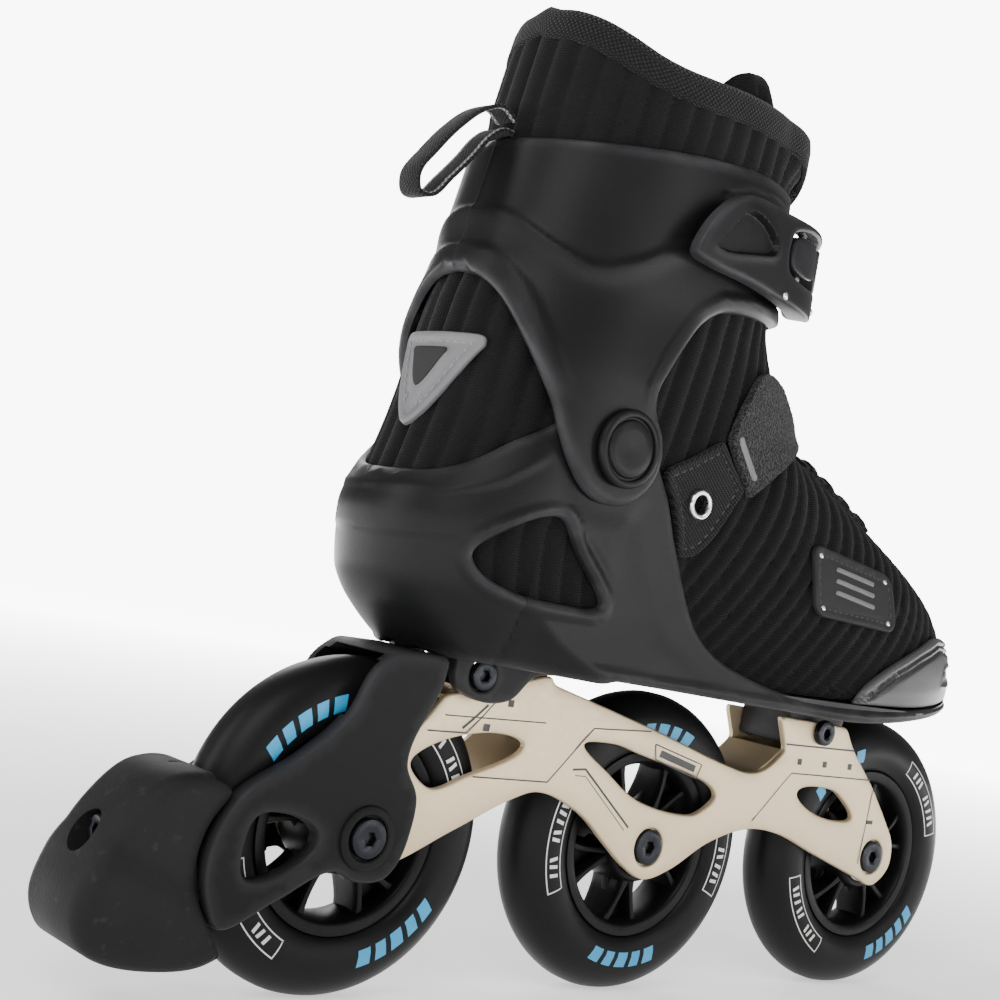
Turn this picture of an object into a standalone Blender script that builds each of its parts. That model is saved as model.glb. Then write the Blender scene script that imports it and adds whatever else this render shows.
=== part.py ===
"""An inline skate with three large wheels, a hinged cuff, a padded liner and a rear brake.

Metres, +Z up. The toe points along +X, the outer side of the boot is -Y, and the wheels stand on z = 0.
The middle axle is above the origin.
"""

import math

import bmesh
import bpy
import numpy as np
from mathutils import Matrix, Vector

MM = 0.001

# Wheels and frame
WHEEL_RADIUS = 55 * MM
AXLE_PITCH = 129.5 * MM
TYRE_HALF_WIDTH = 12 * MM
CORE_RADIUS = 34 * MM
WALL_OUTSIDE = 15.5 * MM
WALL_INSIDE = 13 * MM
BOSS_INSIDE = 12.2 * MM
WHEEL_PLACES = {"rear": -AXLE_PITCH, "middle": 0.0, "front": AXLE_PITCH}
WHEEL_TURNS = {"rear": 0.65, "middle": 0.0, "front": 0.65}
SPOKES = 5
REAR_BOLT = (-0.094, 0.110)
FRONT_BOLT = (0.085, 0.1035)
LUG_OUTSIDE = 20 * MM
TYRE_SEGMENTS = 36
CORE_SEGMENTS = 16

# Boot
PIVOT = (-0.0735, 0.191)
PIVOT_POINT = (PIVOT[0], 0, PIVOT[1])
SOLE_TOP = 118 * MM
LINER_WALL = 6 * MM
SHELL_GAP = 0.9 * MM
SHELL_SKIN = 2.6 * MM
CUFF_GAP = 4.6 * MM
CUFF_SKIN = 2.8 * MM
BOOT_SIDES = 12
TOE_TIP = 158 * MM
FOOT_START = 75 * MM

# Buckle: its height, its pins' distance round the shin from the front, and each layer's height off the boot
BUCKLE_Z = 0.2725
LEVER_PIN = -18.5 * MM
PAWL_PIN = -40 * MM
PIN_RADIUS = 1.5 * MM
PIN_HOLE = 1.75 * MM
BASE_LAYER = 4.8 * MM
LADDER_LAYER = 6.7 * MM
LEVER_LAYER = 9.2 * MM

MATERIALS = {}


def curve(points):
    """A smooth curve through the points that never overshoots them."""
    x, y = np.array(points, float).T
    run = np.diff(x)
    rise = np.diff(y) / run
    slope = np.concatenate([rise[:1], np.zeros(len(x) - 2), rise[-1:]])
    for i in range(1, len(x) - 1):
        if rise[i - 1] * rise[i] > 0:
            before = 2 * run[i] + run[i - 1]
            after = run[i] + 2 * run[i - 1]
            slope[i] = (before + after) / (before / rise[i - 1] + after / rise[i])

    def value(at):
        at = np.clip(at, x[0], x[-1])
        i = np.clip(np.searchsorted(x, at) - 1, 0, len(x) - 2)
        t = (at - x[i]) / run[i]
        ends = (1 + 2 * t) * (1 - t) ** 2 * y[i] + t * t * (3 - 2 * t) * y[i + 1]
        turns = t * (1 - t) ** 2 * slope[i] + t * t * (t - 1) * slope[i + 1]
        return ends + turns * run[i]

    return value


# The boot's outline at each height, by its rearmost x, its leg's foremost x, and its widest place.
BACK = curve([(0.112, -0.123), (0.125, -0.128), (0.14, -0.1345), (0.158, -0.136), (0.168, -0.133),
              (0.19, -0.1272), (0.223, -0.1213), (0.254, -0.1147), (0.284, -0.109), (0.30, -0.1067),
              (0.323, -0.1028), (0.36, -0.096)])
SHIN = curve([(0.112, 0.03), (0.2, 0.0445), (0.213, 0.0436), (0.235, 0.025), (0.25, 0.018),
              (0.28, 0.0125), (0.3, 0.0155), (0.32, 0.018), (0.36, 0.016)])
WIDEST_AT = curve([(0.112, -0.097), (0.16, -0.095), (0.2, -0.077), (0.25, -0.058), (0.3, -0.050),
                   (0.36, -0.045)])
LEG_WIDTH = curve([(0.112, 0.030), (0.12, 0.034), (0.14, 0.037), (0.165, 0.038), (0.19, 0.039),
                   (0.25, 0.0405), (0.28, 0.041), (0.36, 0.040)])
FOOT_WIDTH = curve([(-0.095, 0.036), (-0.03, 0.037), (0.03, 0.043), (0.075, 0.047), (0.12, 0.047)])
INSTEP = curve([(-0.05, 0.30), (0.0, 0.245), (0.025, 0.2263), (0.04, 0.2126), (0.06, 0.2036),
                (0.09, 0.190), (0.12, 0.176), (0.14, 0.165), (0.152, 0.150), (TOE_TIP, 0.136)])
BOOT_BOTTOM = 0.112


def centre_line(x):
    """The sole's middle line, which bends inwards to the toe."""
    return 0.006 * np.clip((x + 0.02) / 0.15, 0, 1) ** 2 * (3 - 2 * np.clip((x + 0.02) / 0.15, 0, 1))


def boot_half(z, count):
    """Half of the boot's outline at height z, from the back to the front, as x and half-width."""
    back = BACK(z)
    x = back + (TOE_TIP - back) * (1 - np.cos(np.linspace(0, np.pi, 700))) / 2
    widest = WIDEST_AT(z)
    reach = np.where(x < widest, (widest - x) / (widest - back), (x - widest) / (SHIN(z) - widest))
    leg = LEG_WIDTH(z) * np.clip(1 - reach**2.25, 0, None) ** (1 / 2.25)
    rise = np.clip((z - BOOT_BOTTOM) / (INSTEP(x) - BOOT_BOTTOM), 0, 1)
    toe = np.clip((x - FOOT_START) / (TOE_TIP - FOOT_START), 0, 1)
    foot = FOOT_WIDTH(x) * np.sqrt(np.clip(1 - toe**2.6, 0, None) * np.clip(1 - rise**3.2, 0, None))
    foot = np.where(x > widest, foot, 0)
    blend = np.clip(4 * MM - abs(foot - leg), 0, None) / (4 * MM)
    half = np.maximum(foot, leg) + np.where(np.minimum(foot, leg) > 0, blend * blend * MM, 0)
    half[0] = 0
    last = min(np.nonzero(half > 1e-6)[0].max() + 1, len(x) - 1)
    x = x[: last + 1]
    half = half[: last + 1]
    half[-1] = 0
    length = np.concatenate([[0], np.cumsum(np.hypot(np.diff(x), np.diff(half)))])
    at = np.linspace(0, length[-1], count)
    return np.interp(at, length, x), np.interp(at, length, half)


def boot_rings(low, high, step, offset, sides=BOOT_SIDES):
    """Closed rings around the boot from height low to high, each point moved out by offset."""
    heights = np.linspace(low, high, max(2, round((high - low) / step) + 1))
    outer = []
    inner = []
    for z in heights:
        x, half = boot_half(z, sides + 1)
        middle = centre_line(x)
        outer.append(np.stack([x, middle - half, np.full_like(x, z)], -1))
        inner.append(np.stack([x, middle + half, np.full_like(x, z)], -1)[-2:0:-1])
    rings = np.concatenate([np.array(outer), np.array(inner)], axis=1)
    around = np.roll(rings, -1, 1) - np.roll(rings, 1, 1)
    up = np.gradient(rings, axis=0)
    normal = np.cross(around, up)
    normal /= np.linalg.norm(normal, axis=-1, keepdims=True)
    push = offset(heights) if callable(offset) else np.full(len(heights), offset)
    rings = rings + normal * push[:, None, None]
    rings[0, :, 2] = low
    rings[-1, :, 2] = high
    return rings


def material(name, colour, roughness, metallic=0.0):
    if name not in MATERIALS:
        made = bpy.data.materials.new(name)
        made.use_nodes = True
        shader = made.node_tree.nodes["Principled BSDF"]
        shader.inputs["Base Color"].default_value = (*colour, 1)
        shader.inputs["Roughness"].default_value = roughness
        shader.inputs["Metallic"].default_value = metallic
        MATERIALS[name] = made
    return MATERIALS[name]


def plastic():
    return material("matte_black_plastic", (0.025, 0.025, 0.027), 0.45)


def fabric():
    return material("black_fabric", (0.02, 0.02, 0.021), 0.95)


def webbing():
    return material("black_webbing", (0.03, 0.03, 0.03), 0.9)


def polyurethane():
    return material("black_polyurethane", (0.03, 0.03, 0.032), 0.5)


def alloy():
    return material("champagne_alloy", (0.60, 0.51, 0.36), 0.4, 0.8)


def black_steel():
    return material("black_steel", (0.03, 0.03, 0.032), 0.35, 0.9)


def bright_steel():
    return material("bright_steel", (0.6, 0.6, 0.6), 0.25, 1.0)


def brake_rubber():
    return material("brake_rubber", (0.05, 0.05, 0.05), 0.8)


def grey_rubber():
    return material("grey_rubber", (0.30, 0.30, 0.31), 0.6)


def new_object(name, mesh_data, look, smooth=True, origin=(0, 0, 0)):
    """Makes an outward-facing object from a bmesh, with its origin where its joint turns."""
    bmesh.ops.remove_doubles(mesh_data, verts=mesh_data.verts, dist=0.00001)
    bmesh.ops.recalc_face_normals(mesh_data, faces=mesh_data.faces)
    mesh = bpy.data.meshes.new(name)
    mesh_data.to_mesh(mesh)
    mesh_data.free()
    mesh.transform(Matrix.Translation(-Vector(origin)))
    if smooth:
        mesh.shade_smooth()
        mesh.set_sharp_from_angle(angle=math.radians(35))
    item = bpy.data.objects.new(name, mesh)
    item.location = origin
    if look:
        mesh.materials.append(look)
    bpy.context.scene.collection.objects.link(item)
    return item


def rounded(points, radius, steps=2):
    """A polygon's points with each corner replaced by an arc; radius is one value or one for each corner."""
    result = []
    count = len(points)
    for i, point in enumerate(points):
        here = Vector(point)
        before = Vector(points[i - 1]) - here
        after = Vector(points[(i + 1) % count]) - here
        size = radius[i] if isinstance(radius, (list, tuple)) else radius
        turn = before.angle(after)
        if size <= 0 or turn > 3.0:
            result.append(tuple(here))
            continue
        reach = min(size / math.tan(turn / 2), before.length * 0.45, after.length * 0.45)
        size = reach * math.tan(turn / 2)
        middle = here + (before.normalized() + after.normalized()).normalized() * size / math.sin(turn / 2)
        start = here + before.normalized() * reach - middle
        sweep = start.angle_signed(here + after.normalized() * reach - middle)
        for step in range(steps + 1):
            spin = Matrix.Rotation(-sweep * step / steps, 2)
            result.append(tuple(middle + spin @ start))
    return result


def circle(x, z, radius, count, start=0.0):
    """Points around a circle in the side view."""
    turns = [start + 2 * math.pi * k / count for k in range(count)]
    return [(x + radius * math.cos(a), z + radius * math.sin(a)) for a in turns]


def add_plate(mesh_data, outline, low_y, high_y, holes=()):
    """Adds a flat solid with a side-view outline in x and z, and holes, between two y values."""
    edges = []
    for loop in [outline, *holes]:
        ring = [mesh_data.verts.new((x, low_y, z)) for x, z in loop]
        edges += [mesh_data.edges.new((ring[i - 1], ring[i])) for i in range(len(ring))]
    filled = bmesh.ops.triangle_fill(mesh_data, edges=edges, use_beauty=True, use_dissolve=False)
    faces = [face for face in filled["geom"] if isinstance(face, bmesh.types.BMFace)]
    raised = bmesh.ops.extrude_face_region(mesh_data, geom=faces, use_keep_orig=True)
    moved = [vert for vert in raised["geom"] if isinstance(vert, bmesh.types.BMVert)]
    bmesh.ops.translate(mesh_data, verts=moved, vec=(0, high_y - low_y, 0))


def plate(name, outline, low_y, high_y, look, holes=(), origin=(0, 0, 0)):
    mesh_data = bmesh.new()
    add_plate(mesh_data, outline, low_y, high_y, holes)
    return new_object(name, mesh_data, look, origin=origin)


def add_rings(mesh_data, rings, closed=True):
    """Joins a stack of rings with faces; the ends get caps unless the stack closes on itself."""
    made = [[mesh_data.verts.new(point) for point in ring] for ring in rings]
    pairs = list(zip(made, made[1:]))
    if not closed:
        pairs.append((made[-1], made[0]))
    for below, above in pairs:
        for i in range(len(below)):
            mesh_data.faces.new((below[i - 1], below[i], above[i], above[i - 1]))
    if closed:
        mesh_data.faces.new(made[0])
        mesh_data.faces.new(made[-1])


def lathe(name, profile, look, centre, segments, closed=True, turn=0.5, axis="Y"):
    """A turned solid on an axis through centre; the profile's points are (along, radius)."""
    mesh_data = bmesh.new()
    rings = []
    for along, radius in profile:
        ring = []
        for k in range(segments):
            a = 2 * math.pi * (k + turn) / segments - math.pi / 2
            side, up = radius * math.cos(a), radius * math.sin(a)
            ring.append({"Y": (side, along, up), "X": (along, side, up)}[axis])
        rings.append(ring)
    add_rings(mesh_data, rings, closed)
    bmesh.ops.translate(mesh_data, verts=mesh_data.verts, vec=centre)
    return new_object(name, mesh_data, look, origin=centre)


def cutter(item, name, mesh_data, operation="DIFFERENCE"):
    """Cuts a hidden solid out of an object, or keeps only what is inside it."""
    helper = new_object(f"{item.name}_{name}", mesh_data, None, smooth=False)
    helper.hide_render = True
    helper.display_type = "WIRE"
    modifier = item.modifiers.new(name, "BOOLEAN")
    modifier.operation = operation
    modifier.object = helper
    return helper


def cut_plate(item, name, outline, low_y, high_y, operation="DIFFERENCE", holes=()):
    mesh_data = bmesh.new()
    add_plate(mesh_data, outline, low_y, high_y, holes)
    return cutter(item, name, mesh_data, operation)


def cut_rings(item, name, rings):
    mesh_data = bmesh.new()
    add_rings(mesh_data, rings)
    return cutter(item, name, mesh_data)


def boot_skin(name, low, high, step, outside, inside, look, outline, origin=(0, 0, 0), floor=None):
    """A skin that follows the boot, kept in a side-view outline; it is solid where inside is None."""
    mesh_data = bmesh.new()
    add_rings(mesh_data, boot_rings(low, high, step, outside))
    item = new_object(name, mesh_data, look, origin=origin)
    if inside is not None:
        start = low - 2 * MM if floor is None else floor
        cut_rings(item, "hollow", boot_rings(start, high + 2 * MM, step, inside))
    cut_plate(item, "outline", outline, -0.1, 0.1, "INTERSECT")
    return item


def bent_bar(places, rows, thickness):
    """A bent bar: places gives (point, outward) along it, rows gives its low and high on each place."""
    mesh_data = bmesh.new()
    rings = []
    for (spot, outward), (low, high) in zip(places, rows):
        inside = Vector(spot)
        outside = inside + Vector(outward) * thickness
        rings.append([(inside.x, inside.y, low), (outside.x, outside.y, low),
                      (outside.x, outside.y, high), (inside.x, inside.y, high)])
    add_rings(mesh_data, rings)
    return mesh_data


def strip(name, places, rows, thickness, look, origin=(0, 0, 0)):
    return new_object(name, bent_bar(places, rows, thickness), look, origin=origin)


# ---------------------------------------------------------------- frame and wheels

FRAME_OUTLINE = [
    (-0.104, 0.102), (-0.060, 0.1125), (-0.0585, 0.1095), (-0.0085, 0.098), (0.035, 0.087), (0.047, 0.085),
    (0.055, 0.0865), (0.066, 0.095), (0.060, 0.108), (0.1006, 0.1065), (0.107, 0.098), (0.119, 0.087),
    (0.135, 0.070), (0.1415, 0.061), (0.1415, 0.0505), (0.132, 0.043), (0.124, 0.0455), (0.093, 0.055),
    (0.070, 0.0622), (0.0515, 0.0635), (0.031, 0.0575), (0.012, 0.0465), (0.0, 0.043), (-0.0106, 0.0475),
    (-0.020, 0.054), (-0.037, 0.066), (-0.058, 0.0722), (-0.069, 0.069), (-0.091, 0.058), (-0.121, 0.044),
    (-0.134, 0.044), (-0.1415, 0.052), (-0.140, 0.061), (-0.130, 0.071),
]
FRAME_WINDOWS = [
    [(0.0765, 0.079), (0.098, 0.081), (0.103, 0.079), (0.113, 0.070), (0.111, 0.069), (0.077, 0.0775)],
    [(-0.040, 0.090), (-0.025, 0.091), (-0.015, 0.089), (0.031, 0.075), (0.022, 0.068), (0.0165, 0.0674),
     (-0.006, 0.0706), (-0.014, 0.0735), (-0.025, 0.080)],
    [(-0.099, 0.088), (-0.068, 0.089), (-0.067, 0.088), (-0.091, 0.0755), (-0.104, 0.071), (-0.114, 0.079)],
]


def make_frame():
    """Two windowed walls joined by a bridge behind each end mount."""
    item = plate("frame", FRAME_OUTLINE, -WALL_OUTSIDE, WALL_OUTSIDE, alloy(), FRAME_WINDOWS)
    rear_bridge = [(-0.108, 0.116), (-0.092, 0.116), (-0.092, 0.1), (-0.06, 0.1), (-0.06, 0.12)]
    front_bridge = [(0.035, 0.12), (0.052, 0.0945), (0.052, 0.0835), (0.078, 0.0835), (0.078, 0.0935),
                    (0.066, 0.0955), (0.066, 0.12)]
    around = [(-0.16, 0.03), (0.16, 0.03), (0.16, 0.12)]
    channel = [*around, *reversed(front_bridge), *reversed(rear_bridge), (-0.16, 0.12)]
    bosses = [circle(x, WHEEL_RADIUS, 9 * MM, 10) for x in WHEEL_PLACES.values()]
    cut_plate(item, "channel", channel, -WALL_INSIDE, WALL_INSIDE, holes=bosses)
    cut_plate(item, "boss_faces", channel, -BOSS_INSIDE, BOSS_INSIDE)
    drill(item, [(x, WHEEL_RADIUS) for x in WHEEL_PLACES.values()] + [REAR_BOLT, FRONT_BOLT], 4.2 * MM)
    sink = 6.9 * MM
    for side in (-1, 1):
        ends = sorted((side * 13.6 * MM, side * 20 * MM))
        drill(item, [(x, WHEEL_RADIUS) for x in (0.0, AXLE_PITCH)], sink, *ends, name=f"sink_{ends[0] > 0}")
    return item


def drill(item, places, radius, low_y=-0.05, high_y=0.05, name="holes", count=10):
    """Cuts holes along Y at the given x and z places."""
    mesh_data = bmesh.new()
    for x, z in places:
        rings = [[(px, y, pz) for px, pz in circle(x, z, radius, count)] for y in (low_y, high_y)]
        add_rings(mesh_data, rings)
    return cutter(item, name, mesh_data)


def make_wheel(place, x):
    """A tyre cast round a spoked core, with a bearing pressed into each side of the core."""
    centre = (x, 0, WHEEL_RADIUS)
    tread = WHEEL_RADIUS / math.cos(math.pi / TYRE_SEGMENTS)
    seat = CORE_RADIUS + 0.15 * MM
    w = TYRE_HALF_WIDTH
    half = [(-w * 0.80, seat), (-w, 0.0410), (-w * 0.80, 0.0503), (-1.5 * MM, tread)]
    profile = half + [(-y, r) for y, r in reversed(half)]
    lathe(f"{place}_tyre", profile, polyurethane(), centre, TYRE_SEGMENTS, closed=False)
    bore = 11.15 * MM
    half = [(5 * MM, 0.0150), (5 * MM, 0.0285), (9.4 * MM, 0.0300), (9.4 * MM, CORE_RADIUS)]
    hub = 11.6 * MM
    profile = [(-hub, bore), (-hub, 0.0138), *[(-y, r) for y, r in half], *reversed(half), (hub, 0.0138),
               (hub, bore)]
    core = lathe(f"{place}_core", profile, plastic(), centre, CORE_SEGMENTS, closed=False)
    mesh_data = bmesh.new()
    for k in range(SPOKES):
        a = 2 * math.pi * k / SPOKES + math.pi / 2 + WHEEL_TURNS[place]
        opening = [(0.0163, -0.30), (0.0163, 0.30), (0.0280, 0.40), (0.0280, 0.0), (0.0280, -0.40)]
        opening = [(x + r * math.cos(a + b), WHEEL_RADIUS + r * math.sin(a + b)) for r, b in opening]
        add_plate(mesh_data, opening, -0.02, 0.02)
    cutter(core, "spoke_gaps", mesh_data)
    make_bearings(place, centre)


def make_bearings(place, centre):
    """A shielded bearing in each side of the core, and the static sleeve of inner races and spacer."""
    for side, name in ((-1, "outer"), (1, "inner")):
        ring = [(5.0 * MM, 0.0096), (5.0 * MM, 0.0110), (11.6 * MM, 0.0110), (11.6 * MM, 0.0066),
                (11.0 * MM, 0.0066), (11.0 * MM, 0.0096)]
        ring = [(side * y, r) for y, r in ring]
        lathe(f"{place}_{name}_bearing", ring, bright_steel(), centre, CORE_SEGMENTS, closed=False)
    race = [(-11.9 * MM, 0.0042), (-11.9 * MM, 0.0060), (-5.0 * MM, 0.0060), (-5.0 * MM, 0.0056),
            (5.0 * MM, 0.0056), (5.0 * MM, 0.0060), (11.9 * MM, 0.0060), (11.9 * MM, 0.0042)]
    lathe(f"{place}_bearing_sleeve", race, bright_steel(), centre, 12, closed=False)


def make_axle(place, x):
    """A socket-head axle and, screwed on its far end, a socket-head nut."""
    centre = (x, 0, WHEEL_RADIUS)
    head = 22 * MM if place == "rear" else 16 * MM
    under = 19.6 * MM if place == "rear" else 13.9 * MM
    shaft = 3.95 * MM
    wide = 6.5 * MM
    profile = [(-head, wide - 0.5 * MM), (-head + 0.5 * MM, wide), (-under, wide), (-under, shaft),
               (under - 0.3 * MM, shaft)]
    lathe(f"{place}_axle", profile, black_steel(), centre, 16)
    nut = [(under, wide), (head - 0.5 * MM, wide), (head, wide - 0.5 * MM)]
    lathe(f"{place}_axle_nut", nut, black_steel(), centre, 16)


# ---------------------------------------------------------------- brake

BRAKE_ARM = [
    (-0.109, 0.105), (-0.118, 0.079), (-0.112, 0.069), (-0.112, 0.058), (-0.115, 0.047), (-0.120, 0.0415),
    (-0.132, 0.041), (-0.138, 0.044), (-0.159, 0.034), (-0.1775, 0.0255), (-0.182, 0.032), (-0.1848, 0.043),
    (-0.183, 0.055), (-0.1765, 0.0665), (-0.158, 0.079), (-0.143, 0.093), (-0.136, 0.108), (-0.128, 0.1145),
    (-0.108, 0.1145),
]
BRAKE_WINDOW = [(-0.170, 0.060), (-0.148, 0.0565), (-0.147, 0.053), (-0.160, 0.042), (-0.171, 0.041),
                (-0.173, 0.045)]
BRAKE_PAD = [
    (-0.1783, 0.0255), (-0.1826, 0.032), (-0.1854, 0.043), (-0.1836, 0.0553), (-0.1772, 0.067),
    (-0.186, 0.0715), (-0.198, 0.070), (-0.211, 0.058), (-0.219, 0.044), (-0.223, 0.029), (-0.219, 0.019),
    (-0.212, 0.0150), (-0.195, 0.0125), (-0.181, 0.0135), (-0.173, 0.017),
]
BRAKE_SIDE = 20 * MM
ARM_INSIDE = 15.9 * MM
TONGUE_SIDE = 16 * MM
PAD_BOLT_Z = 50 * MM


def wheel_room(item, half_width, radius=57.6 * MM):
    drill(item, [(-AXLE_PITCH, WHEEL_RADIUS)], radius, -half_width, half_width, "wheel_room", 32)


def make_brake_bracket():
    """A forked arm that hangs on the rear axle, arches over the wheel and carries the pad behind it."""
    item = plate("brake_bracket", BRAKE_ARM, -BRAKE_SIDE, BRAKE_SIDE, plastic(), [BRAKE_WINDOW])
    tongue = [(-0.1935, 0.033), (-0.175, 0.033), (-0.175, 0.064), (-0.1935, 0.064)]
    mesh_data = bmesh.new()
    add_plate(mesh_data, tongue, -TONGUE_SIDE, TONGUE_SIDE)
    cutter(item, "tongue", mesh_data, "UNION")
    slot = [(-0.188, 0.02), (-0.105, 0.02), (-0.105, 0.1), (-0.104, 0.111), (-0.1435, 0.111), (-0.1435, 0.12),
            (-0.188, 0.12)]
    cut_plate(item, "wheel_slot", slot, -13.6 * MM, 13.6 * MM)
    wheel_room(item, 13.6 * MM)
    frame_room = [(-0.1435, 0.03), (-0.1, 0.03), (-0.1, 0.1105), (-0.1435, 0.1105)]
    cut_plate(item, "frame_room", frame_room, -ARM_INSIDE, ARM_INSIDE)
    drill(item, [(-AXLE_PITCH, WHEEL_RADIUS)], 4.2 * MM)
    for side in (-1, 1):
        ends = sorted((side * 19.2 * MM, side * 25 * MM))
        drill(item, [(-AXLE_PITCH, WHEEL_RADIUS)], 6.9 * MM, *ends, name=f"sink_{ends[0] > 0}", count=16)
    along_x(item, "pad_bolt_hole", -0.20, -0.18, 3.1 * MM)
    return item


def along_x(item, name, low, high, radius, count=10):
    """Cuts a round hole along X on the pad bolt's line."""
    mesh_data = bmesh.new()
    rings = [[(x, y, z) for y, z in circle(0, PAD_BOLT_Z, radius, count, 0.1)] for x in (low, high)]
    add_rings(mesh_data, rings)
    cutter(item, name, mesh_data)


def make_brake_pad():
    """A rubber block that caps the bracket's tongue."""
    item = plate("brake_pad", rounded(BRAKE_PAD, 2 * MM, 1), -BRAKE_SIDE, BRAKE_SIDE, brake_rubber())
    pocket = [(-0.194, 0.0325), (-0.16, 0.0325), (-0.16, 0.0645), (-0.194, 0.0645)]
    cut_plate(item, "pocket", pocket, -TONGUE_SIDE - 0.3 * MM, TONGUE_SIDE + 0.3 * MM)
    wheel_room(item, TONGUE_SIDE + 0.5 * MM)
    along_x(item, "bolt_hole", -0.23, -0.18, 3.1 * MM)
    along_x(item, "bolt_recess", -0.23, -0.2075, 6.2 * MM, 14)
    return item


def make_brake_bolt():
    spot = (0, 0, PAD_BOLT_Z)
    bolt = [(-0.2125, 0.0046), (-0.2120, 0.0050), (-0.2078, 0.0050), (-0.2078, 0.0028), (-0.1895, 0.0028)]
    lathe("brake_pad_bolt", bolt, black_steel(), spot, 12, axis="X")
    nut = [(-0.1877, 0.0052), (-0.1860, 0.0052)]
    lathe("brake_pad_nut", nut, bright_steel(), spot, 6, axis="X")


# ---------------------------------------------------------------- boot

SHELL_OUTLINE = [
    (-0.15, 0.1165), (-0.110, 0.1165), (0.024, 0.1125), (0.072, 0.1115), (0.114, 0.1155), (0.170, 0.1255),
    (0.170, 0.1275), (0.114, 0.1195), (0.070, 0.1175), (0.034, 0.1178), (0.009, 0.122), (-0.009, 0.128),
    (-0.020, 0.136), (-0.027, 0.146), (-0.033, 0.157), (-0.039, 0.168), (-0.044, 0.178), (-0.0535, 0.191),
    (-0.0595, 0.2035), (-0.0735, 0.2095), (-0.0875, 0.2035), (-0.098, 0.194), (-0.110, 0.186),
    (-0.121, 0.177), (-0.130, 0.172), (-0.15, 0.171),
]
SHELL_WINDOW = [(-0.118, 0.149), (-0.114, 0.1545), (-0.090, 0.165), (-0.081, 0.155), (-0.066, 0.139),
                (-0.083, 0.1375), (-0.106, 0.140), (-0.115, 0.144)]
REAR_LUG = [(-0.106, 0.1174), (-0.1045, 0.106), (-0.098, 0.1025), (-0.089, 0.101), (-0.080, 0.103),
            (-0.072, 0.111), (-0.056, 0.115), (-0.056, 0.1174)]
FRONT_LUG = [(0.068, 0.0975), (0.089, 0.0975), (0.1005, 0.106), (0.1005, 0.1165), (0.068, 0.1160)]


def make_shell():
    """The hard lower boot: sole, heel cup and sides, with lugs below it that take the frame bolts."""
    outside = SHELL_GAP + SHELL_SKIN
    item = boot_skin("shell", 0.112, 0.216, 0.013, outside, SHELL_GAP, plastic(), SHELL_OUTLINE,
                     floor=SOLE_TOP)
    cut_plate(item, "side_windows", rounded(SHELL_WINDOW, 3 * MM, 1), -0.1, 0.1)
    mesh_data = bmesh.new()
    for side in (-1, 1):
        ends = sorted((side * (WALL_OUTSIDE + 0.4 * MM), side * LUG_OUTSIDE))
        add_plate(mesh_data, REAR_LUG, *ends)
    add_plate(mesh_data, FRONT_LUG, -WALL_INSIDE + 0.4 * MM, WALL_INSIDE - 0.4 * MM)
    cutter(item, "lugs", mesh_data, "UNION")
    drill(item, [REAR_BOLT, FRONT_BOLT], 3.3 * MM, -0.03, 0.03, "bolt_holes")
    for side in (-1, 1):
        ends = sorted((side * 18.2 * MM, side * 25 * MM))
        drill(item, [REAR_BOLT], 6.3 * MM, *ends, name=f"sink_{ends[0] > 0}")
    drill(item, [PIVOT], 4.3 * MM, -0.06, 0.06, "pivot_holes")
    return item


def make_mount_bolts():
    """A socket-head bolt through each end mount, with a nut on the inner side."""
    for place, (x, z), head, under in (("rear", REAR_BOLT, 21 * MM, 18.5 * MM),
                                       ("front", FRONT_BOLT, 18.6 * MM, 15.8 * MM)):
        centre = (x, 0, z)
        bolt = [(-head, 5 * MM), (-under, 5 * MM), (-under, 3 * MM), (under - 0.3 * MM, 3 * MM)]
        lathe(f"{place}_mount_bolt", bolt, black_steel(), centre, 12)
        nut = [(under, 5.4 * MM), (head - 0.5 * MM, 5.4 * MM)]
        lathe(f"{place}_mount_nut", nut, black_steel(), centre, 6)


TOE_CAP = [(0.064, 0.1182), (0.114, 0.1203), (0.170, 0.1285), (0.170, 0.150), (0.138, 0.1465),
           (0.122, 0.1475),
           (0.104, 0.142), (0.084, 0.1335), (0.070, 0.125)]


def make_toe_cap():
    return boot_skin("toe_cap", 0.114, 0.162, 0.006, SHELL_GAP + 2.6 * MM, SHELL_GAP, plastic(), TOE_CAP)


LINER_LOW = 0.1185
FOOT_TOP = [(0.17, 0.2085), (-0.0735, 0.2065), (-0.0870, 0.2005), (-0.098, 0.191), (-0.110, 0.183),
            (-0.121, 0.1745),
            (-0.130, 0.1685), (-0.15, 0.1680)]
COLLAR_FOOT = [(-0.15, 0.1735), (-0.130, 0.1740), (-0.120, 0.1795), (-0.109, 0.1885), (-0.097, 0.1970),
               (-0.086, 0.2070), (-0.0735, 0.2120), (-0.045, 0.2290), (0.06, 0.2640)]
COLLAR_TOP = [(-0.15, 0.338), (-0.102, 0.338), (-0.088, 0.3445), (-0.070, 0.342), (-0.050, 0.330),
              (-0.030, 0.320), (-0.005, 0.314), (0.012, 0.308), (0.06, 0.304)]


def make_lower_liner():
    """The padded boot's foot, open at the top and along the instep."""
    foot = [(-0.15, LINER_LOW), (0.03, LINER_LOW), (0.10, 0.1205), (0.17, 0.1290), *FOOT_TOP]
    item = boot_skin("liner_foot", 0.112, 0.214, 0.0125, -0.4 * MM, -LINER_WALL, fabric(), foot, floor=0.1245)
    mesh_data = bmesh.new()
    throat = [(0.0, 0.15), (0.094, 0.15), (0.094, 0.26), (0.0, 0.26)]
    add_plate(mesh_data, throat, -0.009, 0.017)
    cutter(item, "throat", mesh_data)
    return item


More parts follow.
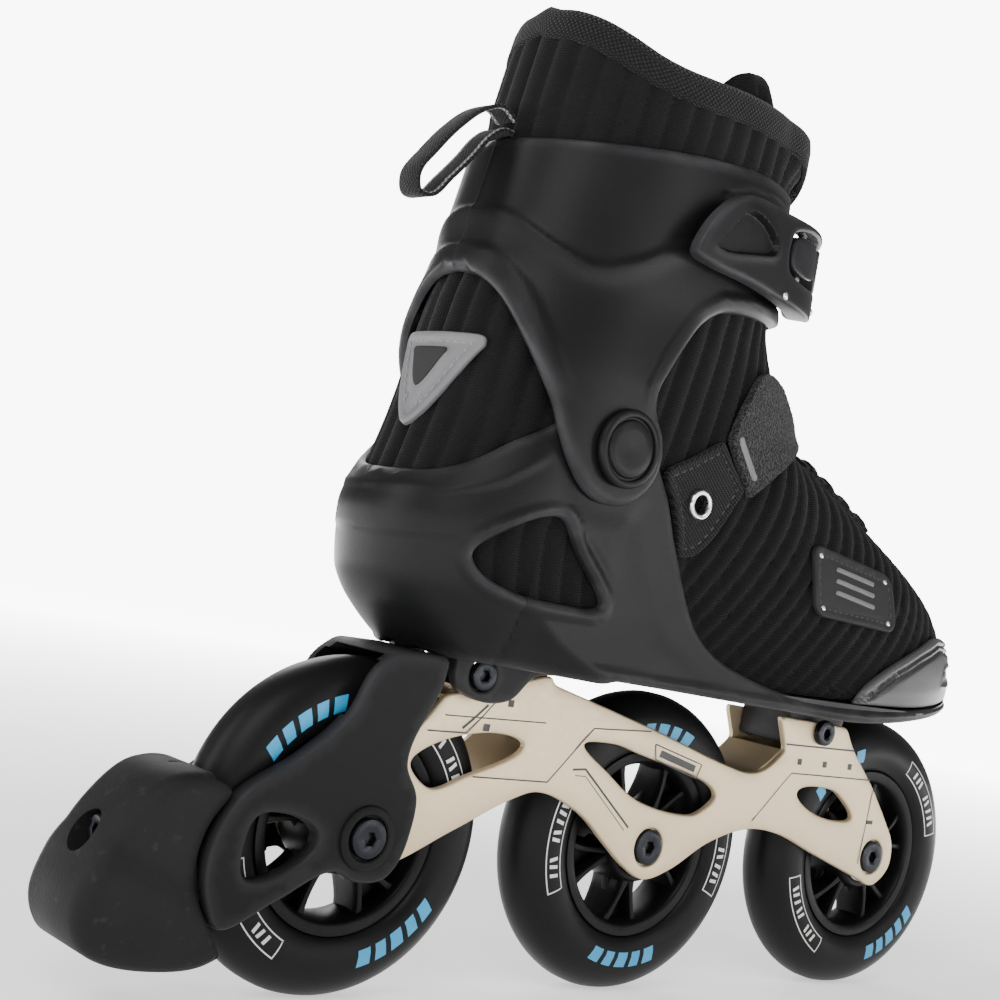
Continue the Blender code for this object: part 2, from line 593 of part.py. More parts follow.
def make_upper_liner():
    """The padded collar round the leg, open down the front for the tongue."""
    leg = [*COLLAR_FOOT, *reversed(COLLAR_TOP)]
    item = boot_skin("liner_collar", 0.164, 0.350, 0.0155, 0.0, -LINER_WALL, fabric(), leg, PIVOT_POINT)
    mesh_data = bmesh.new()
    add_plate(mesh_data, [(-0.02, 0.19), (0.06, 0.19), (0.06, 0.36), (-0.02, 0.36)], -0.012, 0.014)
    cutter(item, "throat", mesh_data)
    return item


def make_tongue():
    """A padded tongue under the instep opening, and its upper half under the collar's."""
    inside = -LINER_WALL - 1.2 * MM
    low = [(0.0, 0.150), (0.110, 0.150), (0.110, 0.2080), (0.0, 0.2080)]
    item = boot_skin("tongue_foot", 0.140, 0.214, 0.010, inside, inside - 4 * MM, fabric(), low)
    cut_plate(item, "sides", [(-0.1, 0.1), (0.2, 0.1), (0.2, 0.3), (-0.1, 0.3)], -0.016, 0.024, "INTERSECT")
    high = [(-0.020, 0.2380), (0.06, 0.2640), (0.06, 0.340), (-0.020, 0.340)]
    item = boot_skin("tongue_shin", 0.205, 0.345, 0.014, inside, inside - 4 * MM, fabric(), high, PIVOT_POINT)
    cut_plate(item, "sides", [(-0.1, 0.1), (0.2, 0.1), (0.2, 0.4), (-0.1, 0.4)], -0.022, 0.024, "INTERSECT")


def make_footbed():
    """A flat cushioned insole inside the foot."""
    slab = [(-0.15, 0.1250), (0.17, 0.1250), (0.17, 0.1285), (-0.15, 0.1285)]
    return boot_skin("footbed", 0.120, 0.136, 0.004, -LINER_WALL - 0.5 * MM, None, fabric(), slab)


CUFF_OUTLINE = [
    (-0.15, 0.2865), (-0.113, 0.2865), (-0.096, 0.288), (-0.075, 0.291), (-0.046, 0.295), (-0.022, 0.297),
    (0.004, 0.2965), (0.05, 0.296), (0.05, 0.259), (0.0, 0.2585), (-0.026, 0.255), (-0.041, 0.2525),
    (-0.050, 0.247), (-0.058, 0.240), (-0.063, 0.229), (-0.063, 0.218), (-0.0605, 0.210), (-0.056, 0.200),
    (-0.0550, 0.190), (-0.0580, 0.181), (-0.0655, 0.174), (-0.0755, 0.172), (-0.086, 0.175), (-0.0935, 0.182),
    (-0.098, 0.191), (-0.1005, 0.199), (-0.105, 0.209), (-0.110, 0.221), (-0.1145, 0.233), (-0.1195, 0.2425),
    (-0.125, 0.247), (-0.15, 0.247),
]


def cuff_inside(z):
    """The cuff stands off the boot at the ankle, where it laps over the shell, and lies close above it."""
    rise = np.clip((z - 0.212) / 0.030, 0, 1)
    return CUFF_GAP + (0.6 * MM - CUFF_GAP) * rise**2 * (3 - 2 * rise)


def make_cuff():
    """The hinged upper support: a band round the shin on two arms that reach down to the ankle."""
    item = boot_skin("cuff", 0.166, 0.302, 0.010, lambda z: cuff_inside(z) + CUFF_SKIN, cuff_inside,
                     plastic(), CUFF_OUTLINE, PIVOT_POINT)
    mesh_data = bmesh.new()
    add_plate(mesh_data, [(-0.005, 0.22), (0.08, 0.22), (0.08, 0.33), (-0.005, 0.33)], -0.013, 0.018)
    cutter(item, "front_gap", mesh_data)
    drill(item, [PIVOT], 4.6 * MM, -0.06, 0.06, "pivot_holes")
    return item


def make_ankle_pivots():
    """A capped pin on each side that the cuff swings on."""
    skin = 38.9 * MM
    for side, name in ((-1, "outer"), (1, "inner")):
        profile = [(skin + 1.0 * MM, 4 * MM), (skin + 8.3 * MM, 4 * MM), (skin + 8.3 * MM, 13 * MM),
                   (skin + 10.2 * MM, 13 * MM), (skin + 11.0 * MM, 12 * MM)]
        profile = [(side * y, r) for y, r in profile]
        lathe(f"{name}_ankle_pivot", profile, plastic(), PIVOT_POINT, 24)


def belt(z, offset, start, end, count):
    """Places round the shin at height z, by distance from the front; negative is the outer side."""
    x, half = boot_half(z, 240)
    middle = centre_line(x)
    outer = np.stack([x, middle - half], -1)
    inner = np.stack([x, middle + half], -1)
    ring = np.concatenate([outer, inner[-2::-1]])
    length = np.concatenate([[0], np.cumsum(np.hypot(*np.diff(ring, axis=0).T))])
    length -= length[len(outer) - 1]
    spots = []
    for at in np.linspace(start, end, count):
        places = [at, at - 2 * MM, at + 2 * MM]
        here, before, after = np.stack([np.interp(places, length, ring[:, k]) for k in (0, 1)], -1)
        along = (after - before) / np.linalg.norm(after - before)
        outward = np.array([along[1], -along[0]])
        spot = here + outward * offset
        spots.append(((spot[0], spot[1], z), (outward[0], outward[1], 0)))
    return spots


def pin_place(distance, offset):
    """Where an upright pin stands, by its distance round the shin from the front."""
    spot, _ = belt(BUCKLE_Z, offset, distance, distance, 1)[0]
    return spot[0], spot[1]


def drill_z(item, place, radius, low=0.24, high=0.31, name="pin_hole"):
    mesh_data = bmesh.new()
    rings = [[(x, y, z) for x, y in circle(place[0], place[1], radius, 10)] for z in (low, high)]
    add_rings(mesh_data, rings)
    cutter(item, name, mesh_data)


def upright_pin(name, place, low, high, look, origin=None):
    mesh_data = bmesh.new()
    rings = [[(x, y, z) for x, y in circle(place[0], place[1], PIN_RADIUS, 10)] for z in (low, high)]
    add_rings(mesh_data, rings)
    return new_object(name, mesh_data, look, origin=origin or (*place, BUCKLE_Z))


def make_buckle():
    """A ratchet buckle on the cuff's outer front: base, housing, lever, pawl, spring and pins."""
    lever_pin = pin_place(LEVER_PIN, 11.4 * MM)
    pawl_pin = pin_place(PAWL_PIN, 11.2 * MM)
    base = belt(BUCKLE_Z, BASE_LAYER, -62 * MM, -21 * MM, 7)
    strip("buckle_base", base, [(0.2625, 0.2825)] * 7, 1.6 * MM, black_steel(), PIVOT_POINT)
    housing = belt(BUCKLE_Z, LEVER_LAYER, -35.5 * MM, -14.5 * MM, 7)
    item = strip("ratchet_housing", housing, [(0.2640, 0.2820)] * 7, 4.4 * MM, plastic(), PIVOT_POINT)
    drill_z(item, lever_pin, PIN_HOLE)
    count = 15
    places = belt(BUCKLE_Z, LEVER_LAYER, -92 * MM, -14 * MM, count)
    rows = []
    for k in range(count):
        t = k / (count - 1)
        back = min(1.0, t / 0.28)
        high = 0.2690 + 0.0185 * math.sin(back * math.pi / 2)
        low = 0.2585 - 0.0025 * math.sin(min(1.0, t / 0.5) * math.pi / 2)
        rows.append((low, high - 0.002 * t))
    lever = strip("buckle_lever", places, rows, 4.8 * MM, plastic(), (*lever_pin, BUCKLE_Z))
    slot = belt(BUCKLE_Z, LEVER_LAYER - 2 * MM, -45 * MM, -8 * MM, 12)
    cutter(lever, "slot", bent_bar(slot, [(0.2636, 0.2824)] * 12, 12 * MM))
    drill_z(lever, lever_pin, PIN_HOLE)
    drill_z(lever, pawl_pin, PIN_HOLE, name="pawl_hole")
    upright_pin("lever_pin", lever_pin, 0.2555, 0.2870, bright_steel())
    upright_pin("pawl_pin", pawl_pin, 0.2555, 0.2870, bright_steel(), (*lever_pin, BUCKLE_Z))
    pawl = belt(BUCKLE_Z, LEVER_LAYER - 0.3 * MM, -43.5 * MM, -36.6 * MM, 3)
    item = strip("pawl", pawl, [(0.2690, 0.2815)] * 3, 4.4 * MM, bright_steel(), (*pawl_pin, BUCKLE_Z))
    drill_z(item, pawl_pin, PIN_HOLE)
    make_pawl_spring(pawl_pin, (*lever_pin, BUCKLE_Z))


def make_pawl_spring(place, origin):
    """A small coil round the pawl's pin that presses it on the ladder strap."""
    turns = 3
    count = 8 * turns
    path = []
    for k in range(count + 1):
        a = 2 * math.pi * k / 8
        path.append((place[0] + 1.9 * MM * math.cos(a), place[1] + 1.9 * MM * math.sin(a),
                     0.2642 + 4.2 * MM * k / count))
    tube("pawl_spring", path, 0.28 * MM, 5, bright_steel(), origin)


def tube(name, path, radius, sides, look, origin=(0, 0, 0)):
    """A round bar along a path."""
    mesh_data = bmesh.new()
    rings = []
    points = [Vector(p) for p in path]
    for i, point in enumerate(points):
        along = (points[min(i + 1, len(points) - 1)] - points[max(i - 1, 0)]).normalized()
        side = along.cross(Vector((0, 0, 1)))
        side = side.normalized() if side.length > 0.1 else Vector((1, 0, 0))
        up = side.cross(along)
        angles = [2 * math.pi * k / sides for k in range(sides)]
        rings.append([point + (side * math.cos(a) + up * math.sin(a)) * radius for a in angles])
    add_rings(mesh_data, rings)
    return new_object(name, mesh_data, look, origin=origin)


def stud(name, spot, outward, radius, length, look, count=10, hole=0.0, origin=(0, 0, 0)):
    """A short round piece, or a ring, that stands on a place along its outward direction."""
    turn = Vector((0, 0, 1)).rotation_difference(Vector(outward)).to_matrix()
    profile = [(radius, 0), (radius, length)]
    if hole:
        profile = [(hole, 0), *profile, (hole, length)]
    rings = []
    for r, up in profile:
        flat = [Vector((r * math.cos(2 * math.pi * k / count), r * math.sin(2 * math.pi * k / count), up))
                for k in range(count)]
        rings.append([Vector(spot) + turn @ point for point in flat])
    mesh_data = bmesh.new()
    add_rings(mesh_data, rings, closed=not hole)
    return new_object(name, mesh_data, look, origin=origin)


def make_ladder_strap():
    """The toothed strap, screwed to the cuff's inner side and threaded under the ratchet."""
    count = 42
    places = belt(BUCKLE_Z, LADDER_LAYER, -56 * MM, 78 * MM, count)
    mesh_data = bmesh.new()
    rings = []
    for k, (spot, outward) in enumerate(places):
        spot = Vector(spot)
        toothed = k < 27
        thick = (1.0 + 0.8 * (k % 2)) * MM if toothed else 1.6 * MM
        outside = spot + Vector(outward) * thick
        rings.append([(spot.x, spot.y, 0.2665), (outside.x, outside.y, 0.2665),
                      (outside.x, outside.y, 0.2795), (spot.x, spot.y, 0.2795)])
    add_rings(mesh_data, rings)
    item = new_object("ladder_strap", mesh_data, plastic(), smooth=False, origin=PIVOT_POINT)
    spot, outward = belt(BUCKLE_Z, LADDER_LAYER + 2.0 * MM, 72 * MM, 72 * MM, 1)[0]
    stud("ladder_screw", spot, outward, 4.2 * MM, 1.8 * MM, black_steel(), 12, origin=PIVOT_POINT)
    spot, outward = belt(BUCKLE_Z, BASE_LAYER + 1.9 * MM, -59 * MM, -59 * MM, 1)[0]
    stud("buckle_rivet", spot, outward, 2.4 * MM, 0.9 * MM, bright_steel(), origin=PIVOT_POINT)
    return item


STRAP_TAB = [(-0.0475, 0.1865), (-0.0350, 0.1945), (-0.0210, 0.2025), (-0.0060, 0.1870), (-0.0265, 0.1615),
             (-0.0340, 0.1605), (-0.0375, 0.1700), (-0.0430, 0.1800)]
STRAP_BAND = [(-0.0182, 0.2055), (-0.0045, 0.1895), (0.024, 0.2100), (0.06, 0.2310), (0.06, 0.2400),
              (0.02, 0.2250), (-0.006, 0.2210)]
EYELET = (-0.029, 0.179)


def make_instep_strap():
    """A broad strap over the instep, pinned by an eyelet to a tab at each side of the shell."""
    for side, name in ((-1, "outer"), (1, "inner")):
        tab = boot_skin(f"{name}_strap_tab", 0.152, 0.212, 0.012, 2.6 * MM, 1.0 * MM, webbing(), STRAP_TAB)
        one_side(tab, side)
        drill(tab, [EYELET], 3.3 * MM, -0.06, 0.06, "eyelet_hole")
    boot_skin("instep_strap", 0.180, 0.245, 0.009, 3.6 * MM, 1.2 * MM, webbing(), STRAP_BAND)
    x, half = boot_half(EYELET[1], 200)
    skin = float(np.interp(EYELET[0], x, half))
    for side, name in ((-1, "outer"), (1, "inner")):
        spot = (EYELET[0], side * (skin + 3.6 * MM), EYELET[1])
        stud(f"{name}_eyelet", spot, (0, side, 0), 5.2 * MM, 1.0 * MM, bright_steel(), 14, hole=3.4 * MM)


def one_side(item, side):
    """Keeps the outer (-1) or inner (1) half of an object."""
    ends = sorted((side * 15 * MM, side * 100 * MM))
    cut_plate(item, "one_side", [(-0.2, 0.05), (0.2, 0.05), (0.2, 0.4), (-0.2, 0.4)], *ends, "INTERSECT")


def cut_from_back(item, outline):
    """Keeps the part of an object behind the ankle that lies in a rear-view outline in y and z."""
    mesh_data = bmesh.new()
    add_plate(mesh_data, outline, -0.2, -0.1)
    for vert in mesh_data.verts:
        vert.co = (vert.co.y, vert.co.x, vert.co.z)
    cutter(item, "rear_view", mesh_data, "INTERSECT")


def make_trim():
    """A rear badge, a riveted side patch, lace loops on the instep and a pull loop behind the collar."""
    around = [(-0.15, 0.17), (0.0, 0.17), (0.0, 0.24), (-0.15, 0.24)]
    item = boot_skin("rear_badge", 0.176, 0.230, 0.009, 1.5 * MM, 0.4 * MM, grey_rubber(), around,
                     PIVOT_POINT)
    triangle = [(-0.021, 0.2185), (0.0165, 0.2185), (-0.002, 0.1855)]
    cut_from_back(item, rounded(triangle, 3.5 * MM, 2))
    patch = [(0.034, 0.1745), (0.0845, 0.1675), (0.0855, 0.1465), (0.037, 0.1485)]
    item = boot_skin("side_patch", 0.138, 0.182, 0.0075, 1.5 * MM, 0.4 * MM, brake_rubber(),
                     rounded(patch, 2 * MM, 1))
    one_side(item, -1)
    make_eyestays()
    path = [(-0.1092, 0.2935), (-0.1150, 0.2965), (-0.1225, 0.2935), (-0.1310, 0.2855), (-0.1385, 0.2755),
            (-0.1440, 0.2660), (-0.1425, 0.2605), (-0.1375, 0.2605), (-0.1310, 0.2680), (-0.1240, 0.2770),
            (-0.1185, 0.2850), (-0.1135, 0.2890), (-0.1092, 0.2890)]
    ribbon("pull_loop", path, 5.5 * MM, 1.3 * MM, webbing(), PIVOT_POINT)


def ribbon(name, path, half_width, thickness, look, origin):
    """A flat band along a side-view path, centred on y = 0."""
    mesh_data = bmesh.new()
    rings = []
    for i, (x, z) in enumerate(path):
        before = Vector(path[max(i - 1, 0)])
        after = Vector(path[min(i + 1, len(path) - 1)])
        along = (after - before).normalized()
        off = Vector((-along.y, along.x)) * thickness / 2
        rings.append([(x + off.x, -half_width, z + off.y), (x - off.x, -half_width, z - off.y),
                      (x - off.x, half_width, z - off.y), (x + off.x, half_width, z + off.y)])
    add_rings(mesh_data, rings)
    return new_object(name, mesh_data, look, origin=origin)


def make_eyestays():
    """A webbing strip with lace loops along each edge of the instep opening."""
    for side, name in ((-1, "outer"), (1, "inner")):
        rings = []
        for k in range(9):
            x = 0.046 + 0.006 * k
            height = (2.8 if k % 2 else 1.4) * MM
            corners = []
            for across in (11.5 * MM, 21 * MM):
                drop = (1 - (across / float(FOOT_WIDTH(x))) ** 2) ** (1 / 3.2)
                z = BOOT_BOTTOM + (float(INSTEP(x)) - BOOT_BOTTOM) * drop
                corners.append((x, float(centre_line(x)) + side * across, z))
            (x, low_y, low_z), (_, high_y, high_z) = corners
            up = 2.8 * MM
            rings.append([(x, low_y, low_z + up), (x, high_y, high_z + up), (x, high_y, high_z + up + height),
                          (x, low_y, low_z + up + height)])
        mesh_data = bmesh.new()
        add_rings(mesh_data, rings)
        new_object(f"{name}_eyestay", mesh_data, webbing(), smooth=False)


def main():
    for item in list(bpy.data.objects):
        bpy.data.objects.remove(item, do_unlink=True)
    make_frame()
    for place, x in WHEEL_PLACES.items():
        make_wheel(place, x)
        make_axle(place, x)
    make_brake_bracket()
    make_brake_pad()
    make_brake_bolt()
    make_shell()
    make_mount_bolts()
    make_toe_cap()
    make_lower_liner()
    make_upper_liner()
    make_tongue()
    make_footbed()
    make_cuff()
    make_ankle_pivots()
    make_buckle()
    make_ladder_strap()
    make_instep_strap()
    make_trim()


main()
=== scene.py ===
import math

import bmesh
import bpy
import numpy as np
from mathutils import Matrix, Vector
from mathutils.geometry import delaunay_2d_cdt


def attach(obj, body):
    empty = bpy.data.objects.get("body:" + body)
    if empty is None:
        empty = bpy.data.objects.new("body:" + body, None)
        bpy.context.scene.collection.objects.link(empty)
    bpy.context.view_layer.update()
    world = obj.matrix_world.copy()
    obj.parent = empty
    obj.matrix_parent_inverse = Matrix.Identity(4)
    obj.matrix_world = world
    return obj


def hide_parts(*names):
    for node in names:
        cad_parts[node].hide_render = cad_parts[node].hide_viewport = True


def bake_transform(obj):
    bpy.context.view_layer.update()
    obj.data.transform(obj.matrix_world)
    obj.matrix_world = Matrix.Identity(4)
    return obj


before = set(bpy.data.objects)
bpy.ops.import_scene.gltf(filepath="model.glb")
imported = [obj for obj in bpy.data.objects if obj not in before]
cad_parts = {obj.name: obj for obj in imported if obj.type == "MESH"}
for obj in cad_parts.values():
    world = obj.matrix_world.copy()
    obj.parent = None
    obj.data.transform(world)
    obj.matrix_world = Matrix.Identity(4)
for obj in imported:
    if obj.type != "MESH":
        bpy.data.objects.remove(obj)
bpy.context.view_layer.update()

MM = 0.001

# Wheels and frame, as in the CAD
WHEEL_RADIUS = 55 * MM
AXLE_PITCH = 129.5 * MM
WALL_OUTSIDE = 15.5 * MM
WALL_INSIDE = 13 * MM
BOSS_INSIDE = 12.2 * MM
WHEEL_PLACES = {"rear": -AXLE_PITCH, "middle": 0.0, "front": AXLE_PITCH}
WHEEL_TURNS = {"rear": 0.65, "middle": 0.0, "front": 0.65}
SPOKES = 5
SIDES = ((-1, "outer"), (1, "inner"))
REAR_BOLT = (-0.094, 0.110)
FRONT_BOLT = (0.085, 0.1035)

# Boot, as in the CAD
PIVOT = (-0.0735, 0.191)
SHELL_GAP = 0.9 * MM
SHELL_SKIN = 2.6 * MM
CUFF_GAP = 4.6 * MM
CUFF_SKIN = 2.8 * MM
LINER_WALL = 6 * MM
TOE_TIP = 158 * MM
FOOT_START = 75 * MM
BOOT_BOTTOM = 0.112
BUCKLE_Z = 0.2725

# Looks
BLACK_SHINE = 0.13
CLOTH_SHINE = 0.10


# ---------------------------------------------------------------- node materials

class Look:
    """A Principled material under construction, with short calls for its nodes."""

    def __init__(self, name, colour, roughness, metallic=0.0):
        self.material = bpy.data.materials.new(name)
        self.material.use_nodes = True
        self.tree = self.material.node_tree
        self.shader = self.tree.nodes["Principled BSDF"]
        self.shader.inputs["Base Color"].default_value = (*colour, 1)
        self.shader.inputs["Roughness"].default_value = roughness
        self.shader.inputs["Metallic"].default_value = metallic
        self.height = None

    def node(self, kind, inputs=(), **settings):
        node = self.tree.nodes.new(kind)
        for key, value in settings.items():
            setattr(node, key, value)
        for key, value in dict(inputs).items():
            if isinstance(value, bpy.types.NodeSocket):
                self.tree.links.new(value, node.inputs[key])
            else:
                node.inputs[key].default_value = value
        return node

    def place(self, kind="Object"):
        return self.node("ShaderNodeTexCoord").outputs[kind]

    def noise(self, scale, detail=2.0, vector=None):
        vector = vector or self.place()
        return self.node("ShaderNodeTexNoise",
                         {"Vector": vector, "Scale": scale, "Detail": detail}).outputs["Fac"]

    def math(self, operation, *values):
        return self.node("ShaderNodeMath", dict(enumerate(values)), operation=operation).outputs[0]

    def ramp(self, value, low, high, start=0.0, end=1.0):
        inputs = {"Value": value, "From Min": start, "From Max": end, "To Min": low, "To Max": high}
        return self.node("ShaderNodeMapRange", inputs).outputs["Result"]

    def mix(self, fac, first, second):
        mix = self.node("ShaderNodeMix", data_type="RGBA")
        for index, value in ((0, fac), (6, first), (7, second)):
            if isinstance(value, bpy.types.NodeSocket):
                self.tree.links.new(value, mix.inputs[index])
            else:
                mix.inputs[index].default_value = value if index == 0 else (*value, 1)
        return mix.outputs[2]

    def bump(self, height, distance, strength=1.0):
        inputs = {"Height": height, "Distance": distance, "Strength": strength}
        if self.height is not None:
            inputs["Normal"] = self.height
        self.height = self.node("ShaderNodeBump", inputs).outputs["Normal"]

    def rim(self):
        """How near a place is to a moulded rim, from the piece's own rim shares."""
        return self.node("ShaderNodeAttribute", attribute_name="rim").outputs["Fac"]

    def set(self, key, value):
        self.shader.inputs[key].default_value = value

    def wire(self, key, value):
        self.tree.links.new(value, self.shader.inputs[key])

    def rough(self, value, low, high):
        """A roughness between low and high that follows a cloudy value."""
        self.wire("Roughness", self.ramp(value, low, high, 0.3, 0.7))

    def done(self, slot):
        if self.height is not None:
            self.wire("Normal", self.height)
        self.material["slot"] = slot
        return self.material


LOOKS = {}


def look(maker):
    """Makes a material once and hands out the same one after that."""
    def once():
        if maker.__name__ not in LOOKS:
            LOOKS[maker.__name__] = maker()
        return LOOKS[maker.__name__]
    return once


@look
def shell_plastic():
    """Satin black moulding with a fine cast grain, and greyer rims that are partly rubbed wear and partly a
    painted edge highlight.
    """
    m = Look("satin_black_plastic", (0.006, 0.006, 0.0065), 0.42)
    cloud = m.noise(14.0, 3.0)
    grain = m.noise(1500.0, 2.0)
    rim = m.rim()
    # The greyer rims are partly rubbed wear, broken up by noise, and partly a painted highlight along the
    # moulded edges.
    rubbed_wear_and_highlight = m.math("MULTIPLY", rim, m.ramp(m.noise(60.0, 4.0), 0.25, 0.9, 0.35, 0.65))
    base = m.mix(m.ramp(cloud, 0.0, 1.0, 0.3, 0.7), (0.0030, 0.0030, 0.0034), (0.0055, 0.0055, 0.006))
    m.wire("Base Color", m.mix(rubbed_wear_and_highlight, base, (0.034, 0.034, 0.036)))
    m.wire("Roughness", m.ramp(m.math("ADD", cloud, m.math("MULTIPLY", grain, 0.3)), 0.34, 0.46, 0.35, 0.95))
    m.set("Specular IOR Level", BLACK_SHINE)
    m.bump(grain, 0.00012, 0.5)
    return m.done("matte_black_plastic")


@look
def toe_plastic():
    """Slightly greyer and softer plastic of the toe guard, with a painted highlight along its rims."""
    m = Look("grey_black_plastic", (0.05, 0.05, 0.052), 0.45)
    grain = m.noise(1300.0, 2.0)
    rim = m.rim()
    # Lighter colour towards the rims is a painted edge highlight.
    m.wire("Base Color", m.mix(rim, (0.010, 0.010, 0.0105), (0.050, 0.050, 0.052)))
    m.rough(m.noise(18.0, 3.0), 0.38, 0.52)
    m.bump(grain, 0.00012, 0.5)
    return m.done("matte_black_plastic")


@look
def brake_plastic():
    """Matte glass-filled nylon of the brake bracket, with a painted highlight along its rims."""
    m = Look("matte_black_nylon", (0.02, 0.02, 0.021), 0.55)
    cloud = m.noise(22.0, 4.0)
    rim = m.rim()
    base = m.mix(m.ramp(cloud, 0.0, 1.0, 0.3, 0.7), (0.0035, 0.0035, 0.004), (0.007, 0.007, 0.0075))
    # Lighter colour towards the rims is a painted edge highlight.
    m.wire("Base Color", m.mix(m.math("MULTIPLY", rim, 0.7), base, (0.030, 0.030, 0.032)))
    m.set("Specular IOR Level", BLACK_SHINE)
    m.rough(cloud, 0.46, 0.62)
    m.bump(m.noise(1700.0, 2.0), 0.00015, 0.6)
    return m.done("matte_black_plastic")


@look
def pad_rubber():
    """Dense rubber with a dusty bloom and small scuffs."""
    m = Look("brake_rubber", (0.025, 0.025, 0.026), 0.6)
    cloud = m.noise(30.0, 5.0)
    scuff = m.ramp(m.noise(240.0, 6.0), 0.0, 1.0, 0.62, 0.72)
    base = m.mix(m.ramp(cloud, 0.0, 1.0, 0.3, 0.7), (0.007, 0.007, 0.0075), (0.014, 0.014, 0.0145))
    m.set("Specular IOR Level", BLACK_SHINE)
    m.wire("Base Color", m.mix(m.math("MULTIPLY", scuff, 0.3), base, (0.04, 0.04, 0.04)))
    m.rough(cloud, 0.50, 0.72)
    m.bump(m.noise(900.0, 4.0), 0.0002, 0.6)
    return m.done("brake_rubber")


@look
def urethane():
    """Cast tyre material: near black, even satin, with a faint cloudy tone."""
    m = Look("black_polyurethane", (0.016, 0.016, 0.017), 0.42)
    cloud = m.noise(16.0, 4.0)
    m.wire("Base Color", m.mix(cloud, (0.004, 0.004, 0.0045), (0.008, 0.008, 0.0085)))
    m.set("Specular IOR Level", BLACK_SHINE)
    m.rough(cloud, 0.34, 0.50)
    m.bump(m.noise(1100.0, 3.0), 0.0001, 0.5)
    return m.done("black_polyurethane")


@look
def hub_plastic():
    """Moulded nylon of the wheel cores."""
    m = Look("hub_black_nylon", (0.004, 0.004, 0.0045), 0.38)
    m.set("Specular IOR Level", BLACK_SHINE)
    m.rough(m.noise(40.0, 4.0), 0.30, 0.46)
    m.bump(m.noise(1400.0, 2.0), 0.0001, 0.5)
    return m.done("matte_black_plastic")


@look
def champagne():
    """Bead-blasted, champagne anodised aluminium."""
    m = Look("champagne_alloy", (0.60, 0.51, 0.37), 0.42, 0.55)
    cloud = m.noise(9.0, 3.0)
    m.wire("Base Color", m.mix(cloud, (0.60, 0.475, 0.300), (0.68, 0.550, 0.365)))
    m.rough(m.noise(900.0, 2.0), 0.36, 0.52)
    m.bump(m.noise(2400.0, 2.0), 0.00008, 0.6)
    return m.done("champagne_alloy")


@look
def dark_steel():
    """Blackened steel of the axles and bolts."""
    m = Look("black_steel", (0.010, 0.011, 0.015), 0.28, 0.7)
    m.rough(m.noise(300.0, 4.0), 0.2, 0.42)
    m.bump(m.noise(1500.0, 2.0), 0.00006, 0.5)
    return m.done("black_steel")


@look
def bright():
    """Bare steel of the bearings, pins and rivets."""
    m = Look("bright_steel", (0.62, 0.62, 0.62), 0.24, 1.0)
    m.rough(m.noise(500.0, 4.0), 0.16, 0.36)
    m.bump(m.noise(1800.0, 2.0), 0.00005, 0.5)
    return m.done("bright_steel")


@look
def pawl_metal():
    """Blackened steel of the pawl."""
    m = Look("blackened_pawl", (0.008, 0.008, 0.009), 0.4)
    m.rough(m.noise(300.0, 4.0), 0.3, 0.46)
    m.set("Specular IOR Level", BLACK_SHINE)
    m.bump(m.noise(1500.0, 2.0), 0.00006, 0.5)
    return m.done("bright_steel")


@look
def print_blue():
    m = Look("blue_print", (0.012, 0.30, 0.56), 0.45)
    m.wire("Base Color", m.mix(m.noise(300.0, 3.0), (0.010, 0.26, 0.50), (0.018, 0.34, 0.62)))
    return m.done("black_polyurethane")


@look
def print_white():
    m = Look("white_print", (0.62, 0.62, 0.60), 0.5)
    m.wire("Base Color", m.mix(m.noise(300.0, 3.0), (0.55, 0.55, 0.53), (0.70, 0.70, 0.68)))
    return m.done("black_polyurethane")


@look
def print_black():
    m = Look("black_print", (0.02, 0.02, 0.022), 0.5)
    m.rough(m.noise(400.0, 2.0), 0.42, 0.58)
    return m.done("champagne_alloy")


def woven(name, slot, dark, pale, pitch, depth, sheen=0.3, twill=0.0):
    """Cloth whose yarns cross every pitch, read from the piece's own flat map in metres."""
    m = Look(name, dark, 0.85)
    flat = m.place("UV")
    turned = m.node("ShaderNodeMapping", {"Vector": flat, "Rotation": (0, 0, twill)}).outputs[0]
    waves = []
    for axis in "XY":
        inputs = {"Vector": turned, "Scale": 0.314 / pitch, "Distortion": 0.6, "Detail": 1.0,
                  "Detail Scale": 40.0}
        waves.append(m.node("ShaderNodeTexWave", inputs, bands_direction=axis).outputs["Fac"])
    yarn = m.math("MULTIPLY", *waves)
    cloud = m.noise(26.0, 4.0)
    base = m.mix(yarn, dark, pale)
    m.wire("Base Color", m.mix(m.math("MULTIPLY", cloud, 0.35), base, tuple(0.6 * c for c in dark)))
    m.rough(cloud, 0.74, 0.94)
    m.set("Sheen Weight", sheen)
    m.set("Specular IOR Level", CLOTH_SHINE)
    m.set("Sheen Roughness", 0.4)
    m.bump(yarn, depth, 0.8)
    m.bump(m.noise(2600.0, 3.0), 0.00008, 0.5)
    return m.done(slot)


@look
def liner_cloth():
    return woven("black_knit", "black_fabric", (0.003, 0.003, 0.0032), (0.008, 0.008, 0.0085), 0.9 * MM,
                 0.0002, 0.04)


@look
def binding_cloth():
    return woven("black_binding", "black_fabric", (0.003, 0.003, 0.003), (0.018, 0.018, 0.019), 1.3 * MM,
                 0.0004,
                 0.08, 0.785)


@look
def webbing_cloth():
    return woven("black_webbing", "black_webbing", (0.004, 0.004, 0.004), (0.024, 0.024, 0.025), 1.1 * MM,
                 0.0003,
                 0.08, 0.6)


@look
def pale_webbing():
    return woven("grey_webbing", "black_webbing", (0.06, 0.06, 0.06), (0.42, 0.42, 0.42), 1.4 * MM, 0.0003,
                 0.2, 0.785)


